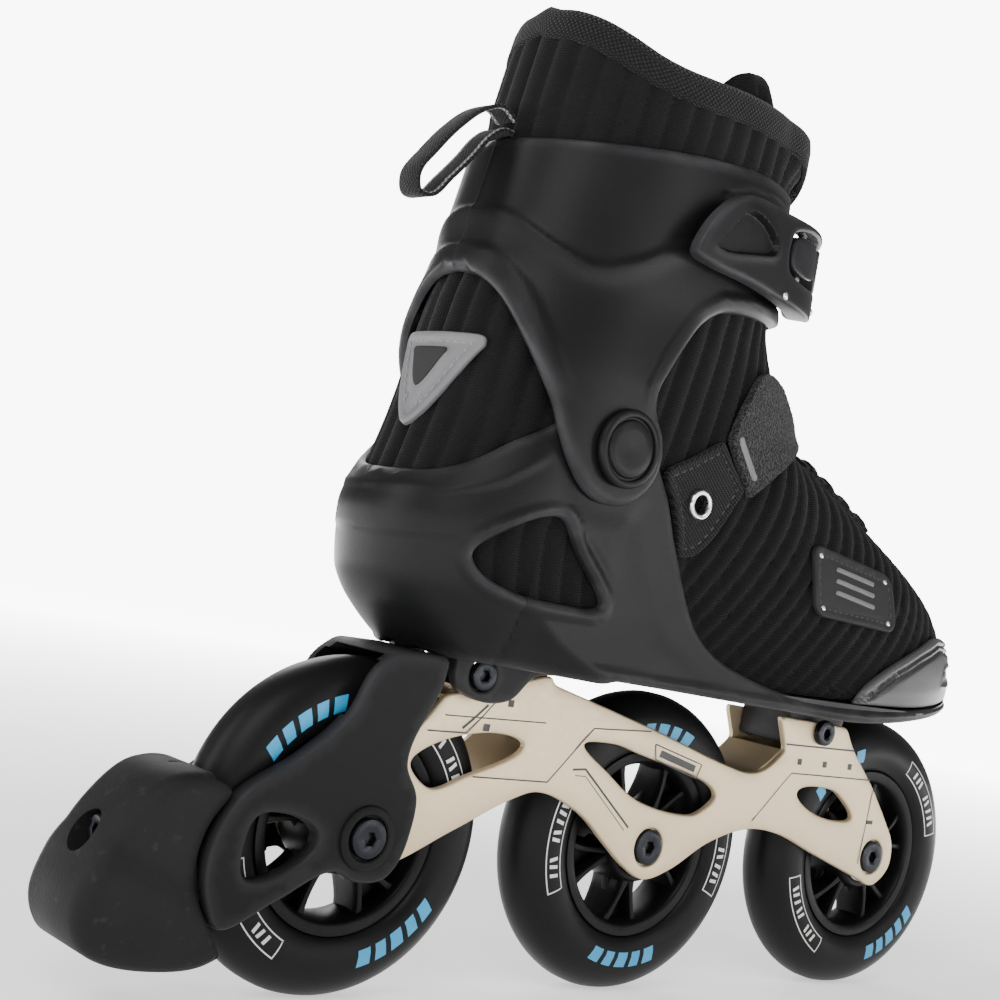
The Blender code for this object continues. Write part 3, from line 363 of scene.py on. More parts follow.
@look
def loop_cloth():
    """The soft, fuzzy face of a hook-and-loop strap."""
    m = Look("black_loop_pile", (0.004, 0.004, 0.004), 0.95)
    curls = m.node("ShaderNodeTexVoronoi", {"Vector": m.place(), "Scale": 1100.0}).outputs["Distance"]
    pile = m.math("ADD", curls, m.noise(1900.0, 4.0))
    m.wire("Base Color",
           m.mix(m.ramp(pile, 0.0, 1.0, 0.75, 1.25), (0.0015, 0.0015, 0.0015), (0.030, 0.030, 0.030)))
    m.set("Sheen Weight", 0.08)
    m.set("Specular IOR Level", CLOTH_SHINE)
    m.bump(pile, 0.0008, 1.0)
    return m.done("black_webbing")


@look
def badge_rubber():
    m = Look("grey_rubber", (0.20, 0.20, 0.21), 0.55)
    m.wire("Base Color", m.mix(m.noise(60.0, 4.0), (0.075, 0.075, 0.078), (0.115, 0.115, 0.12)))
    m.bump(m.noise(1500.0, 3.0), 0.0001, 0.6)
    return m.done("grey_rubber")


@look
def patch_rubber():
    m = Look("dark_rubber", (0.035, 0.035, 0.036), 0.6)
    m.set("Specular IOR Level", BLACK_SHINE)
    m.wire("Base Color", m.mix(m.noise(60.0, 4.0), (0.012, 0.012, 0.0125), (0.021, 0.021, 0.022)))
    m.bump(m.noise(1300.0, 3.0), 0.00012, 0.6)
    return m.done("brake_rubber")


@look
def thread():
    m = Look("grey_thread", (0.16, 0.16, 0.16), 0.8)
    m.bump(m.noise(3000.0, 2.0), 0.0001, 0.8)
    return m.done("black_fabric")


@look
def black_thread():
    m = Look("black_thread", (0.02, 0.02, 0.02), 0.8)
    m.bump(m.noise(3000.0, 2.0), 0.0001, 0.8)
    return m.done("black_fabric")


# ---------------------------------------------------------------- mesh helpers

def in_mm(points, side=1):
    """Pairs given in millimetres, as metres, with the first number turned over for side -1."""
    return [(side * a * MM, b * MM) for a, b in points]


def new_piece(name, mesh_data, material, body=None, replaces=(), sharp=50.0):
    """Turns a bmesh into a smooth-shaded piece that rides on a CAD body."""
    mesh = bpy.data.meshes.new(name)
    bmesh.ops.recalc_face_normals(mesh_data, faces=mesh_data.faces)
    mesh_data.to_mesh(mesh)
    mesh_data.free()
    return finish_piece(name, mesh, material, body, replaces, sharp)


def finish_piece(name, mesh, material, body=None, replaces=(), sharp=50.0):
    mesh.shade_smooth()
    mesh.set_sharp_from_angle(angle=math.radians(sharp))
    mesh.materials.append(material)
    item = bpy.data.objects.new(name, mesh)
    bpy.context.scene.collection.objects.link(item)
    if body:
        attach(item, body)
    if replaces:
        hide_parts(*replaces)
    return item


def add_rings(mesh_data, rings, closed=True, capped=True):
    """Joins rings of points into one skin; each ring is a loop of the same length."""
    loops = [[mesh_data.verts.new(point) for point in ring] for ring in rings]
    pairs = list(zip(loops, loops[1:])) if closed else list(zip(loops, loops[1:] + loops[:1]))
    count = len(loops[0])
    for low, high in pairs:
        for i in range(count):
            j = (i + 1) % count
            mesh_data.faces.new((low[i], low[j], high[j], high[i]))
    if closed and capped:
        mesh_data.faces.new(loops[0][::-1])
        mesh_data.faces.new(loops[-1])
    return loops


def circle(x, z, radius, count):
    """Points round a circle, as pairs."""
    angles = [2 * math.pi * k / count for k in range(count)]
    return [(x + radius * math.cos(a), z + radius * math.sin(a)) for a in angles]


def hexagon_reach(angle):
    """How far a hexagon's side is from its centre in a direction, for a corner reach of 1."""
    turned = (angle % (math.pi / 3)) - math.pi / 6
    return math.cos(math.pi / 6) / math.cos(turned)


def turned(name, profile, material, centre, body=None, replaces=(), sides=72, closed=True, axis="Y",
           mesh_data=None):
    """A turned piece; a profile point is (along, radius) or (along, radius, 'hex') for a hexagonal ring."""
    rings = []
    for along, radius, *kind in profile:
        ring = []
        for k in range(sides):
            a = 2 * math.pi * k / sides
            r = radius * (hexagon_reach(a) if kind else 1)
            flat = (r * math.cos(a), r * math.sin(a))
            offset = (flat[0], along, flat[1]) if axis == "Y" else (along, flat[0], flat[1])
            ring.append(Vector(centre) + Vector(offset))
        rings.append(ring)
    own = mesh_data is None
    mesh_data = bmesh.new() if own else mesh_data
    add_rings(mesh_data, rings, closed)
    if own:
        return new_piece(name, mesh_data, material, body, replaces, sharp=35.0)
    return None


def bend(first, leaving, last, arriving, step):
    """Places every step along a smooth bend between two points, without the last one."""
    count = max(1, int(round(np.linalg.norm(last - first) / step)))
    out = []
    for t in np.arange(count) / count:
        h = (2 * t**3 - 3 * t**2 + 1, t**3 - 2 * t**2 + t, -2 * t**3 + 3 * t**2, t**3 - t**2)
        out.append(h[0] * first + h[1] * leaving + h[2] * last + h[3] * arriving)
    return out


def smooth_loop(points, corners=(), step=1.0 * MM, soften=2):
    """A closed outline drawn smoothly through its points, apart from the corners numbered."""
    p = np.array(points, float)
    n = len(p)
    out = []
    for i in range(n):
        a, b, c, d = p[i - 1], p[i], p[(i + 1) % n], p[(i + 2) % n]
        length = np.linalg.norm(c - b)
        before = length if i in corners else np.linalg.norm(b - a)
        after = length if (i + 1) % n in corners else np.linalg.norm(d - c)
        start = (c - b) if i in corners else ((b - a) / before + (c - b) / length) * length / 2
        end = (c - b) if (i + 1) % n in corners else ((c - b) / length + (d - c) / after) * length / 2
        out += bend(b, start, c, end, step)
    out = np.array(out)
    for _ in range(soften):
        out = (np.roll(out, 1, 0) + 2 * out + np.roll(out, -1, 0)) / 4
    return out


def smooth_line(points, step=1.0 * MM):
    """An open line drawn smoothly through its points."""
    p = np.array(points, float)
    p = np.concatenate([2 * p[:1] - p[1:2], p, 2 * p[-1:] - p[-2:-1]])
    out = []
    for i in range(1, len(p) - 2):
        a, b, c, d = p[i - 1 : i + 3]
        length = np.linalg.norm(c - b)
        start = ((b - a) / np.linalg.norm(b - a) + (c - b) / length) * length / 2
        end = ((c - b) / length + (d - c) / np.linalg.norm(d - c)) * length / 2
        out += bend(b, start, c, end, step)
    out.append(p[-2])
    return np.array(out)


def inside(loops, points):
    """Which points lie inside the loops, counting a hole as outside."""
    x, y = points.T
    odd = np.zeros(len(points), bool)
    for loop in loops:
        following = np.roll(loop, -1, 0)
        for (x0, y0), (x1, y1) in zip(loop, following):
            if y0 == y1:
                continue
            crossed = (y0 > y) != (y1 > y)
            odd ^= crossed & (x < (x1 - x0) * (y - y0) / (y1 - y0) + x0)
    return odd


def reach_to(lines, points):
    """Distance from each point to the nearest of the open lines."""
    best = np.full(len(points), 1.0)
    for line in lines:
        for a, b in zip(line, line[1:]):
            along = b - a
            size = along @ along
            if size < 1e-16:
                continue
            t = np.clip((points - a) @ along / size, 0, 1)
            best = np.minimum(best, np.linalg.norm(points - a - t[:, None] * along, axis=1))
    return best


def smoothstep(t):
    t = np.clip(t, 0, 1)
    return t * t * (3 - 2 * t)


def hump(distance, width):
    """1 where the distance is 0, and falling off smoothly over a width."""
    return np.exp(-((distance / width) ** 2))


def close_to(distance, reach, soft):
    """1 within a reach, 0 beyond it, and soft between."""
    return 1 - smoothstep((distance - reach) / soft)


# ---------------------------------------------------------------- the boot's surface

def curve(points):
    """A smooth curve through the points that never overshoots them."""
    x, y = np.array(points, float).T
    run = np.diff(x)
    rise = np.diff(y) / run
    slope = np.concatenate([rise[:1], np.zeros(len(x) - 2), rise[-1:]])
    for i in range(1, len(x) - 1):
        if rise[i - 1] * rise[i] > 0:
            before = 2 * run[i] + run[i - 1]
            after = run[i] + 2 * run[i - 1]
            slope[i] = (before + after) / (before / rise[i - 1] + after / rise[i])

    def value(at):
        at = np.clip(at, x[0], x[-1])
        i = np.clip(np.searchsorted(x, at) - 1, 0, len(x) - 2)
        t = (at - x[i]) / run[i]
        ends = (1 + 2 * t) * (1 - t) ** 2 * y[i] + t * t * (3 - 2 * t) * y[i + 1]
        turns = t * (1 - t) ** 2 * slope[i] + t * t * (t - 1) * slope[i + 1]
        return ends + turns * run[i]

    return value


BACK = curve([(0.112, -0.106), (0.118, -0.1125), (0.125, -0.1218), (0.133, -0.1303), (0.14, -0.1343),
              (0.158, -0.136), (0.168, -0.133),
              (0.19, -0.1272), (0.223, -0.1213), (0.254, -0.1147), (0.284, -0.109), (0.30, -0.1067),
              (0.323, -0.1028), (0.36, -0.096)])
SHIN = curve([(0.112, 0.03), (0.2, 0.0445), (0.213, 0.0436), (0.235, 0.025), (0.25, 0.018),
              (0.28, 0.0125), (0.3, 0.0155), (0.32, 0.018), (0.36, 0.016)])
WIDEST_AT = curve([(0.112, -0.097), (0.16, -0.095), (0.2, -0.077), (0.25, -0.058), (0.3, -0.050),
                   (0.36, -0.045)])
LEG_WIDTH = curve([(0.112, 0.021), (0.118, 0.0265), (0.125, 0.0312), (0.14, 0.036), (0.165, 0.038),
                   (0.19, 0.039),
                   (0.25, 0.0405), (0.28, 0.041), (0.36, 0.040)])
FOOT_WIDTH = curve([(-0.095, 0.036), (-0.03, 0.037), (0.03, 0.043), (0.075, 0.047), (0.12, 0.047)])
INSTEP = curve([(-0.05, 0.30), (0.0, 0.245), (0.025, 0.2263), (0.04, 0.2126), (0.06, 0.2036),
                (0.09, 0.190), (0.12, 0.176), (0.14, 0.165), (0.152, 0.150), (TOE_TIP, 0.136)])


def centre_line(x):
    """The sole's middle line, which bends inwards to the toe."""
    reach = np.clip((x + 0.02) / 0.15, 0, 1)
    return 0.006 * reach**2 * (3 - 2 * reach)


def boot_half(z, count):
    """Half of the boot's outline at height z, from the back to the front, as x and half-width."""
    back = BACK(z)
    x = back + (TOE_TIP - back) * (1 - np.cos(np.linspace(0, np.pi, 1400))) / 2
    widest = WIDEST_AT(z)
    reach = np.where(x < widest, (widest - x) / (widest - back), (x - widest) / (SHIN(z) - widest))
    leg = LEG_WIDTH(z) * np.clip(1 - reach**2.25, 0, None) ** (1 / 2.25)
    rise = np.clip((z - BOOT_BOTTOM) / (INSTEP(x) - BOOT_BOTTOM), 0, 1)
    toe = np.clip((x - FOOT_START) / (TOE_TIP - FOOT_START), 0, 1)
    foot = FOOT_WIDTH(x) * np.sqrt(np.clip(1 - toe**2.6, 0, None) * np.clip(1 - rise**3.2, 0, None))
    foot = np.where(x > widest, np.minimum(foot, LEG_WIDTH(z) + 0.3 * (x - widest)), 0)
    blend = np.clip(4 * MM - abs(foot - leg), 0, None) / (4 * MM)
    half = np.maximum(foot, leg) + np.where(np.minimum(foot, leg) > 0, blend * blend * MM, 0)
    half[0] = 0
    last = min(np.nonzero(half > 1e-6)[0].max() + 1, len(x) - 1)
    x = x[: last + 1]
    half = half[: last + 1]
    half[-1] = 0
    length = np.concatenate([[0], np.cumsum(np.hypot(np.diff(x), np.diff(half)))])
    at = np.linspace(0, length[-1], count)
    return np.interp(at, length, x), np.interp(at, length, half), length[-1]


class RingChart:
    """Spreads the boot out flat: round its outline from the back, by its height."""

    COUNT = 321
    HEIGHTS = np.linspace(0.1121, 0.352, 241)

    def __init__(self):
        rows = [boot_half(z, self.COUNT) for z in self.HEIGHTS]
        self.x = np.array([row[0] for row in rows])
        self.half = np.array([row[1] for row in rows])
        self.length = np.array([row[2] for row in rows])

    def row(self, z):
        at = np.clip((z - self.HEIGHTS[0]) / (self.HEIGHTS[1] - self.HEIGHTS[0]), 0,
                     len(self.HEIGHTS) - 1.001)
        low = at.astype(int)
        return low, at - low

    def around(self, z):
        low, t = self.row(z)
        return self.length[low] * (1 - t) + self.length[low + 1] * t

    def flat(self, side_view):
        """Side-view x and z to the flat map: distance round the boot, and height."""
        out = []
        for x, z in side_view:
            low, t = self.row(np.array(z))
            xs = self.x[low] * (1 - t) + self.x[low + 1] * t
            share = np.interp(x, xs, np.linspace(0, 1, self.COUNT))
            out.append((share * float(self.around(np.array(z))), z))
        return np.array(out)

    def spot(self, flat, side):
        """Points on the bare boot for places on the flat map, on one side of the boot."""
        z = flat[:, 1]
        share = np.clip(flat[:, 0] / self.around(z), 0, 1) * (self.COUNT - 1)
        low, t = self.row(z)
        left = np.clip(share.astype(int), 0, self.COUNT - 2)
        s = share - left
        value = []
        for table in (self.x, self.half):
            first = table[low, left] * (1 - s) + table[low, left + 1] * s
            second = table[low + 1, left] * (1 - s) + table[low + 1, left + 1] * s
            value.append(first * (1 - t) + second * t)
        x, half = value
        return np.stack([x, centre_line(x) + side * half, z], -1)

    def seam(self, flat):
        """Which places lie where the two halves of the boot meet."""
        return (flat[:, 0] < 1e-5) | (flat[:, 0] > self.around(flat[:, 1]) - 1e-5)

    def outward(self, flat, side):
        d = 1.2 * MM
        share = flat[:, 0] / self.around(flat[:, 1])
        kept = np.clip(share, 0.004, 0.996)
        steps = []
        for dx, dz in ((d, 0), (-d, 0), (0, d), (0, -d)):
            z = np.clip(flat[:, 1] + dz, 0.1122, 0.3518)
            moved = np.stack([kept * self.around(z) + dx, z], -1)
            steps.append(self.spot(moved, side))
        normal = np.cross(steps[0] - steps[1], steps[2] - steps[3])
        normal /= np.linalg.norm(normal, axis=1)[:, None]
        normal *= -side
        on_seam = (share < 0.004) | (share > 0.996)
        normal[:, 1] *= np.where(on_seam, 0, 1)
        return normal / np.linalg.norm(normal, axis=1)[:, None]


RING = RingChart()


class OpenChart:
    """A chart without a seam, whose outlines are places on its flat map already."""

    def flat(self, loop):
        return np.array(loop, float)

    def seam(self, flat):
        return np.zeros(len(flat), bool)


class FlatChart(OpenChart):
    """A wall that stands upright at a fixed distance from the middle plane."""

    def __init__(self, distance):
        self.distance = distance

    def spot(self, flat, side):
        return np.stack([flat[:, 0], np.full(len(flat), side * self.distance), flat[:, 1]], -1)

    def outward(self, flat, side):
        return np.tile([0.0, float(side), 0.0], (len(flat), 1))


def inset_points(loop, distance, loops, sign):
    """Points a set distance inside a loop, left out where another edge is nearer."""
    along = np.roll(loop, -1, 0) - np.roll(loop, 1, 0)
    size = np.linalg.norm(along, axis=1)
    keep = size > 1e-9
    inward = np.stack([-along[:, 1], along[:, 0]], -1)[keep] / size[keep, None] * sign
    points = loop[keep] + inward * distance
    closed = [np.concatenate([edge, edge[:1]]) for edge in loops]
    return points[reach_to(closed, points) > 0.97 * distance]


def area_of(loop):
    x, y = loop.T
    return 0.5 * float(np.sum(x * np.roll(y, -1) - np.roll(x, -1) * y))


class Patch:
    """A moulded skin cut to an outline on a chart, with rounded rims and optional relief on its face."""

    def __init__(self, chart, loops, grid=2.2 * MM, edge=0.9 * MM, extra=(), mapped=False):
        """loops are closed side-view outlines, the first one the outside and the others holes.
        With mapped, they are places on the flat map already."""
        self.chart = chart
        flats = []
        for loop in loops:
            flat = loop if mapped else chart.flat(loop)
            keep = np.linalg.norm(flat - np.roll(flat, 1, 0), axis=1) > 0.05 * MM
            flats.append(flat[keep])
        self.loops = flats
        self.edge = edge
        rims = []
        for flat in flats:
            on_seam = chart.seam(flat)
            for i in range(len(flat)):
                j = (i + 1) % len(flat)
                if not (on_seam[i] and on_seam[j]):
                    rims.append(np.array([flat[i], flat[j]]))
        self.rims = rims
        sets = [np.concatenate(flats)]
        for k, flat in enumerate(flats):
            sign = 1 if area_of(flat) > 0 else -1
            for share in (0.15, 0.5, 1.0):
                sets.append(inset_points(flat, share * edge, flats, sign if k == 0 else -sign))
        low = flats[0].min(0)
        high = flats[0].max(0)
        across = np.arange(low[0] + grid / 3, high[0], grid)
        up = np.arange(low[1] + grid / 3, high[1], grid * 0.87)
        cells = np.array([(u + (grid / 2 if k % 2 else 0), v) for k, v in enumerate(up) for u in across])
        cells = cells[inside(flats, cells)]
        sets.append(cells[self.reach(cells) > edge + 0.55 * grid])
        for line in extra:
            points = chart.flat(line)
            points = points[inside(flats, points)]
            sets.append(points[self.reach(points) > edge * 1.1])
        edges = []
        start = 0
        for flat in flats:
            edges += [(start + i, start + (i + 1) % len(flat)) for i in range(len(flat))]
            start += len(flat)
        points = np.concatenate(sets)
        found = delaunay_2d_cdt([Vector(p) for p in points * 1000], edges, [], 0, 1e-6)
        flat = np.array([(v.x, v.y) for v in found[0]]) / 1000
        triangles = np.array([t for t in found[2] if len(t) == 3])
        middles = flat[triangles].mean(1)
        self.triangles = triangles[inside(flats, middles)]
        self.points = flat
        self.depth = self.reach(flat)
        self.find_rim_edges()

    def reach(self, points):
        """Distance to the rim, and not to the seam between the boot's two halves."""
        return reach_to(self.rims, points)

    def find_rim_edges(self):
        count = {}
        for t in self.triangles:
            for a, b in ((t[0], t[1]), (t[1], t[2]), (t[2], t[0])):
                key = (min(a, b), max(a, b))
                count.setdefault(key, []).append((a, b))
        on_seam = self.chart.seam(self.points)
        single = [found[0] for found in count.values() if len(found) == 1]
        self.rim = [(a, b) for a, b in single if not (on_seam[a] and on_seam[b])]

    def build(self, low, thick, side, relief=None, back=True):
        """Vertices, faces, flat places and rim shares of one side's skin from height low, thick deep.
        relief(flat, base, depth) is how far the face stands out at flat places, points and depths."""
        p = self.points
        base = self.chart.spot(p, side)
        out = self.chart.outward(p, side)
        d = np.clip(self.depth, 0, self.edge)
        r = min(self.edge, thick * 0.9)
        t = np.clip(d / self.edge, 0, 1)
        crown = thick - r + r * np.sqrt(np.clip(1 - (1 - t) ** 2, 0, 1))
        floor = low(p, base) if callable(low) else np.full(len(p), low)
        more = relief(p, base, self.depth) if relief else 0.0
        top = base + out * (floor + crown + more)[:, None]
        bottom = base + out * floor[:, None]
        n = len(p)
        turn = side > 0
        faces = []
        area = self.triangles
        first, second, third = p[area[:, 0]], p[area[:, 1]], p[area[:, 2]]
        u, v = second - first, third - first
        positive = u[:, 0] * v[:, 1] - u[:, 1] * v[:, 0] > 0
        for tri, is_positive in zip(area, positive):
            a, b, c = (int(i) for i in tri)
            flip = is_positive == turn
            faces.append((a, c, b) if flip else (a, b, c))
            if back:
                faces.append((n + a, n + b, n + c) if flip else (n + a, n + c, n + b))
        for a, b in self.rim:
            faces.append((int(a), int(b), n + int(b), n + int(a)))
        shares = np.exp(-((self.depth / (1.1 * self.edge)) ** 2))
        return np.concatenate([top, bottom]), faces, np.concatenate([p, p]), np.concatenate([shares, shares])


def make_mesh(name, parts, merge=0.03 * MM):
    """One mesh from several (vertices, faces, flat places, rim shares), joined where they touch."""
    mesh_data = bmesh.new()
    flat_layer = mesh_data.loops.layers.uv.new("UVMap")
    rim_layer = mesh_data.verts.layers.float.new("rim")
    for points, faces, flat, rim in parts:
        verts = [mesh_data.verts.new(p) for p in points]
        for vert, share in zip(verts, rim):
            vert[rim_layer] = float(share)
        for face in faces:
            made = mesh_data.faces.new([verts[i] for i in face])
            for loop, i in zip(made.loops, face):
                loop[flat_layer].uv = flat[i]
    bmesh.ops.remove_doubles(mesh_data, verts=mesh_data.verts, dist=merge)
    loose = [v for v in mesh_data.verts if not v.link_faces]
    bmesh.ops.delete(mesh_data, geom=loose, context="VERTS")
    bmesh.ops.recalc_face_normals(mesh_data, faces=mesh_data.faces)
    mesh = bpy.data.meshes.new(name)
    mesh_data.to_mesh(mesh)
    mesh_data.free()
    return mesh


def skin(name, loops, low, thick, material, body, replaces=(), sides=(-1, 1), grid=2.2 * MM, edge=0.9 * MM,
         relief=None, extra=(), chart=None, sharp=50.0, parts=()):
    """A finished skin on one or both sides of the boot or frame."""
    patch = Patch(chart or RING, loops, grid, edge, extra)
    built = [patch.build(low, thick, side, relief) for side in sides]
    mesh = make_mesh(name, [*built, *parts])
    return finish_piece(name, mesh, material, body, replaces, sharp)


# ---------------------------------------------------------------- wheels

TYRE_HALF = [(-8.6, 34.4), (-9.8, 35.2), (-11.4, 38.0), (-12.0, 41.2), (-11.8, 44.6), (-10.9, 47.9),
             (-9.2, 50.7), (-6.9, 52.9), (-4.2, 54.3), (-1.6, 54.95)]


def place_on(centre, distance, radius, angle):
    return Vector((centre[0] + radius * math.cos(angle), distance, centre[2] + radius * math.sin(angle)))


def make_tyre(place, centre):
    """A cast tyre with a rounded tread and a faint bead where it meets the core."""
    half = smooth_line(in_mm(TYRE_HALF), 1.6 * MM)
    profile = [*half, *[(-y, r) for y, r in half[::-1]]]
    turned(f"{place}_tyre_body", profile, urethane(), centre, f"{place}_wheel", [f"{place}_tyre"], 144,
           closed=False)


def sidewall(radius):
    """How far the tyre's side stands from the middle plane at a radius."""
    y, r = np.array(TYRE_HALF[2:]).T * MM
    return float(-np.interp(radius, r, y))


def side_print(name, place, centre, material, bars, side, lift=0.12 * MM):
    """Printed bars on a tyre's side; a bar is a list of (radius, angle) corners."""
    mesh_data = bmesh.new()
    for bar in bars:
        (r0, a0), (r1, a1), (r2, a2), (r3, a3) = bar
        count = max(2, int(abs(a1 - a0) / 0.03) + 1)
        rows = []
        for k in range(count + 1):
            t = k / count
            low = (r0 + (r1 - r0) * t, a0 + (a1 - a0) * t)
            high = (r3 + (r2 - r3) * t, a3 + (a2 - a3) * t)
            row = []
            for m in range(4):
                r = low[0] + (high[0] - low[0]) * m / 3
                a = low[1] + (high[1] - low[1]) * m / 3
                row.append(mesh_data.verts.new(place_on(centre, side * (sidewall(r) + lift), r, a)))
            rows.append(row)
        for before, after in zip(rows, rows[1:]):
            for m in range(3):
                mesh_data.faces.new((before[m], before[m + 1], after[m + 1], after[m]))
    return new_piece(name, mesh_data, material, f"{place}_wheel")


def arc_bar(r0, r1, a0, a1, slant=0.0):
    return [(r0 * MM, a0), (r0 * MM, a1), (r1 * MM, a1 + slant), (r1 * MM, a0 + slant)]


def make_tyre_prints(place, centre):
    """Two blue flashes and two white size frames on each side, a quarter turn apart."""
    start = WHEEL_TURNS[place]
    for side, face in SIDES:
        blue = []
        white = []
        for half_turn in (0, math.pi):
            middle = start - math.pi / 2 + half_turn
            for k in range(5):
                a = middle + (k - 2) * 0.158
                wide = 0.050 if k % 2 else 0.058
                blue.append(arc_bar(39.5, 44.8, a - wide, a + wide, -0.035))
            middle = start + half_turn
            a0, a1 = middle - 0.42, middle + 0.42
            for r in (39.2, 45.4):
                white.append(arc_bar(r, r + 0.45, a0, a1))
            for a in (a0, a1):
                white.append(arc_bar(39.2, 45.85, a, a + 0.011))
            for k in range(9):
                a = a0 + 0.10 + k * 0.075
                if k != 5:
                    white.append(arc_bar(40.8, 44.2, a, a + 0.030, -0.012 if k % 3 else 0.012))
        side_print(f"{place}_tyre_{face}_flash", place, centre, print_blue(), blue, side)
        side_print(f"{place}_tyre_{face}_frames", place, centre, print_white(), white, side)


def spoke_bar(mesh_data, centre, angles, radii, wide, deep):
    """A rounded bar from the hub to the rim; angles, radii, wide and deep are its values at each end."""
    rings = []
    for k in range(7):
        t = k / 6
        flare = 1 + 0.55 * abs(2 * t - 1) ** 3
        a = angles[0] + (angles[1] - angles[0]) * t
        r = radii[0] + (radii[1] - radii[0]) * t
        w = (wide[0] + (wide[1] - wide[0]) * t) * flare
        d = deep[0] + (deep[1] - deep[0]) * t
        spot = place_on(centre, 0, r, a)
        across = Vector((-math.sin(a), 0, math.cos(a)))
        ring = []
        for m in range(16):
            b = 2 * math.pi * m / 16
            x = math.copysign(abs(math.cos(b)) ** 0.55, math.cos(b)) * w / 2
            y = math.copysign(abs(math.sin(b)) ** 0.45, math.sin(b)) * d / 2
            ring.append(spot + across * x + Vector((0, y, 0)))
        rings.append(ring)
    add_rings(mesh_data, rings)


def make_core(place, centre):
    """A hub and a rim joined by forked, truss-like spokes."""
    mesh_data = bmesh.new()
    rim = [(-8.3, 29.9), (-9.0, 30.3), (-9.4, 31.0), (-9.4, 34.0), (-8.6, 34.4), (0, 34.4), (8.6, 34.4),
           (9.4, 34.0),
           (9.4, 31.0), (9.0, 30.3), (8.3, 29.9), (6.0, 28.9), (3.0, 28.4), (0, 28.3), (-3.0, 28.4),
           (-6.0, 28.9)]
    turned("rim", in_mm(rim), None, centre, sides=120, closed=False, mesh_data=mesh_data)
    hub = [(-11.4, 11.2), (-11.4, 12.9), (-11.0, 13.4), (-9.0, 14.2), (-5.0, 15.0), (0, 15.2), (5.0, 15.0),
           (9.0, 14.2), (11.0, 13.4), (11.4, 12.9), (11.4, 11.2)]
    turned("hub", in_mm(hub), None, centre, sides=72, closed=False, mesh_data=mesh_data)
    for k in range(SPOKES):
        gap = 2 * math.pi * k / SPOKES + math.pi / 2 + WHEEL_TURNS[place]
        middle = gap + math.pi / SPOKES
        for lean in (-1, 1):
            angles = (middle + lean * 0.10, middle + lean * 0.235)
            spoke_bar(mesh_data, centre, angles, (14.0 * MM, 29.4 * MM), (3.0 * MM, 2.6 * MM),
                      (17 * MM, 14 * MM))
        spoke_bar(mesh_data, centre, (middle, middle), (13.5 * MM, 29.2 * MM), (7.6 * MM, 10.5 * MM),
                  (4.2 * MM, 3.6 * MM))
    new_piece(f"{place}_core_body", mesh_data, hub_plastic(), f"{place}_wheel", [f"{place}_core"],
              sharp=38.0)


def make_bearings(place, centre):
    for side, face in SIDES:
        ring = [(5.0, 9.6), (5.0, 11.0), (11.3, 11.0), (11.6, 10.7), (11.6, 9.7), (11.25, 9.5), (11.2, 7.4),
                (11.5, 7.2), (11.6, 6.7), (11.0, 6.6), (11.0, 9.3)]
        ring = in_mm(ring, side)
        turned(f"{place}_{face}_bearing_ring", ring, bright(), centre, f"{place}_wheel",
               [f"{place}_{face}_bearing"], 64, closed=False)
    race = [(-11.9, 4.2), (-11.9, 6.0), (-5.0, 6.0), (-5.0, 5.6), (5.0, 5.6), (5.0, 6.0), (11.9, 6.0),
            (11.9, 4.2)]
    turned(f"{place}_bearing_tube", in_mm(race), bright(), centre, "boot",
           [f"{place}_bearing_sleeve"], 48, closed=False)


def socket_head(head, under, wide, shaft, end, hexagon=2.4 * MM, depth=2.6 * MM, bevel=0.7 * MM):
    """Profile of a socket-head screw along -Y: dished face, hexagonal recess, rounded rim, shank."""
    return [(-head + depth, 0.05 * MM), (-head + depth, hexagon, "hex"), (-head + 0.25 * MM, hexagon, "hex"),
            (-head + 0.05 * MM, hexagon * 1.12), (-head, wide - 1.6 * MM), (-head + 0.12 * MM, wide - bevel),
            (-head + 0.30 * bevel, wide - 0.45 * bevel), (-head + bevel, wide), (-under, wide),
            (-under, shaft),
            (end, shaft)]


def make_axle(place, centre):
    head = 22 * MM if place == "rear" else 16 * MM
    under = 19.6 * MM if place == "rear" else 13.9 * MM
    wide = 6.5 * MM
    profile = socket_head(head, under, wide, 3.95 * MM, under - 0.3 * MM, 2.5 * MM, 2.0 * MM)
    turned(f"{place}_axle_bolt", profile, dark_steel(), centre, "boot", [f"{place}_axle"])
    profile = [(-y, *rest) for y,
               *rest in socket_head(head, under, wide, 3.0 * MM, -under, 2.5 * MM, 1.9 * MM)[:-2]]
    turned(f"{place}_axle_cap", [*profile, (under, 0.05 * MM)], dark_steel(), centre, "boot",
           [f"{place}_axle_nut"])


def make_wheels():
    for place, x in WHEEL_PLACES.items():
        centre = (x, 0, WHEEL_RADIUS)
        make_tyre(place, centre)
        make_tyre_prints(place, centre)
        make_core(place, centre)
        make_bearings(place, centre)
        make_axle(place, centre)


# ---------------------------------------------------------------- frame

FRAME_OUTLINE = [
    (-0.104, 0.102), (-0.060, 0.1125), (-0.0585, 0.1095), (-0.0085, 0.098), (0.035, 0.087), (0.047, 0.085),
    (0.055, 0.0865), (0.066, 0.095), (0.060, 0.108), (0.1006, 0.1065), (0.107, 0.098), (0.119, 0.087),
    (0.135, 0.070), (0.1415, 0.061), (0.1415, 0.0505), (0.132, 0.043), (0.124, 0.0455), (0.093, 0.055),
    (0.070, 0.0622), (0.0515, 0.0635), (0.031, 0.0575), (0.012, 0.0465), (0.0, 0.043), (-0.0106, 0.0475),
    (-0.020, 0.054), (-0.037, 0.066), (-0.058, 0.0722), (-0.069, 0.069), (-0.091, 0.058), (-0.121, 0.044),
    (-0.134, 0.044), (-0.1415, 0.052), (-0.140, 0.061), (-0.130, 0.071),
]
FRAME_CORNERS = (0, 1, 2, 7, 8, 9)
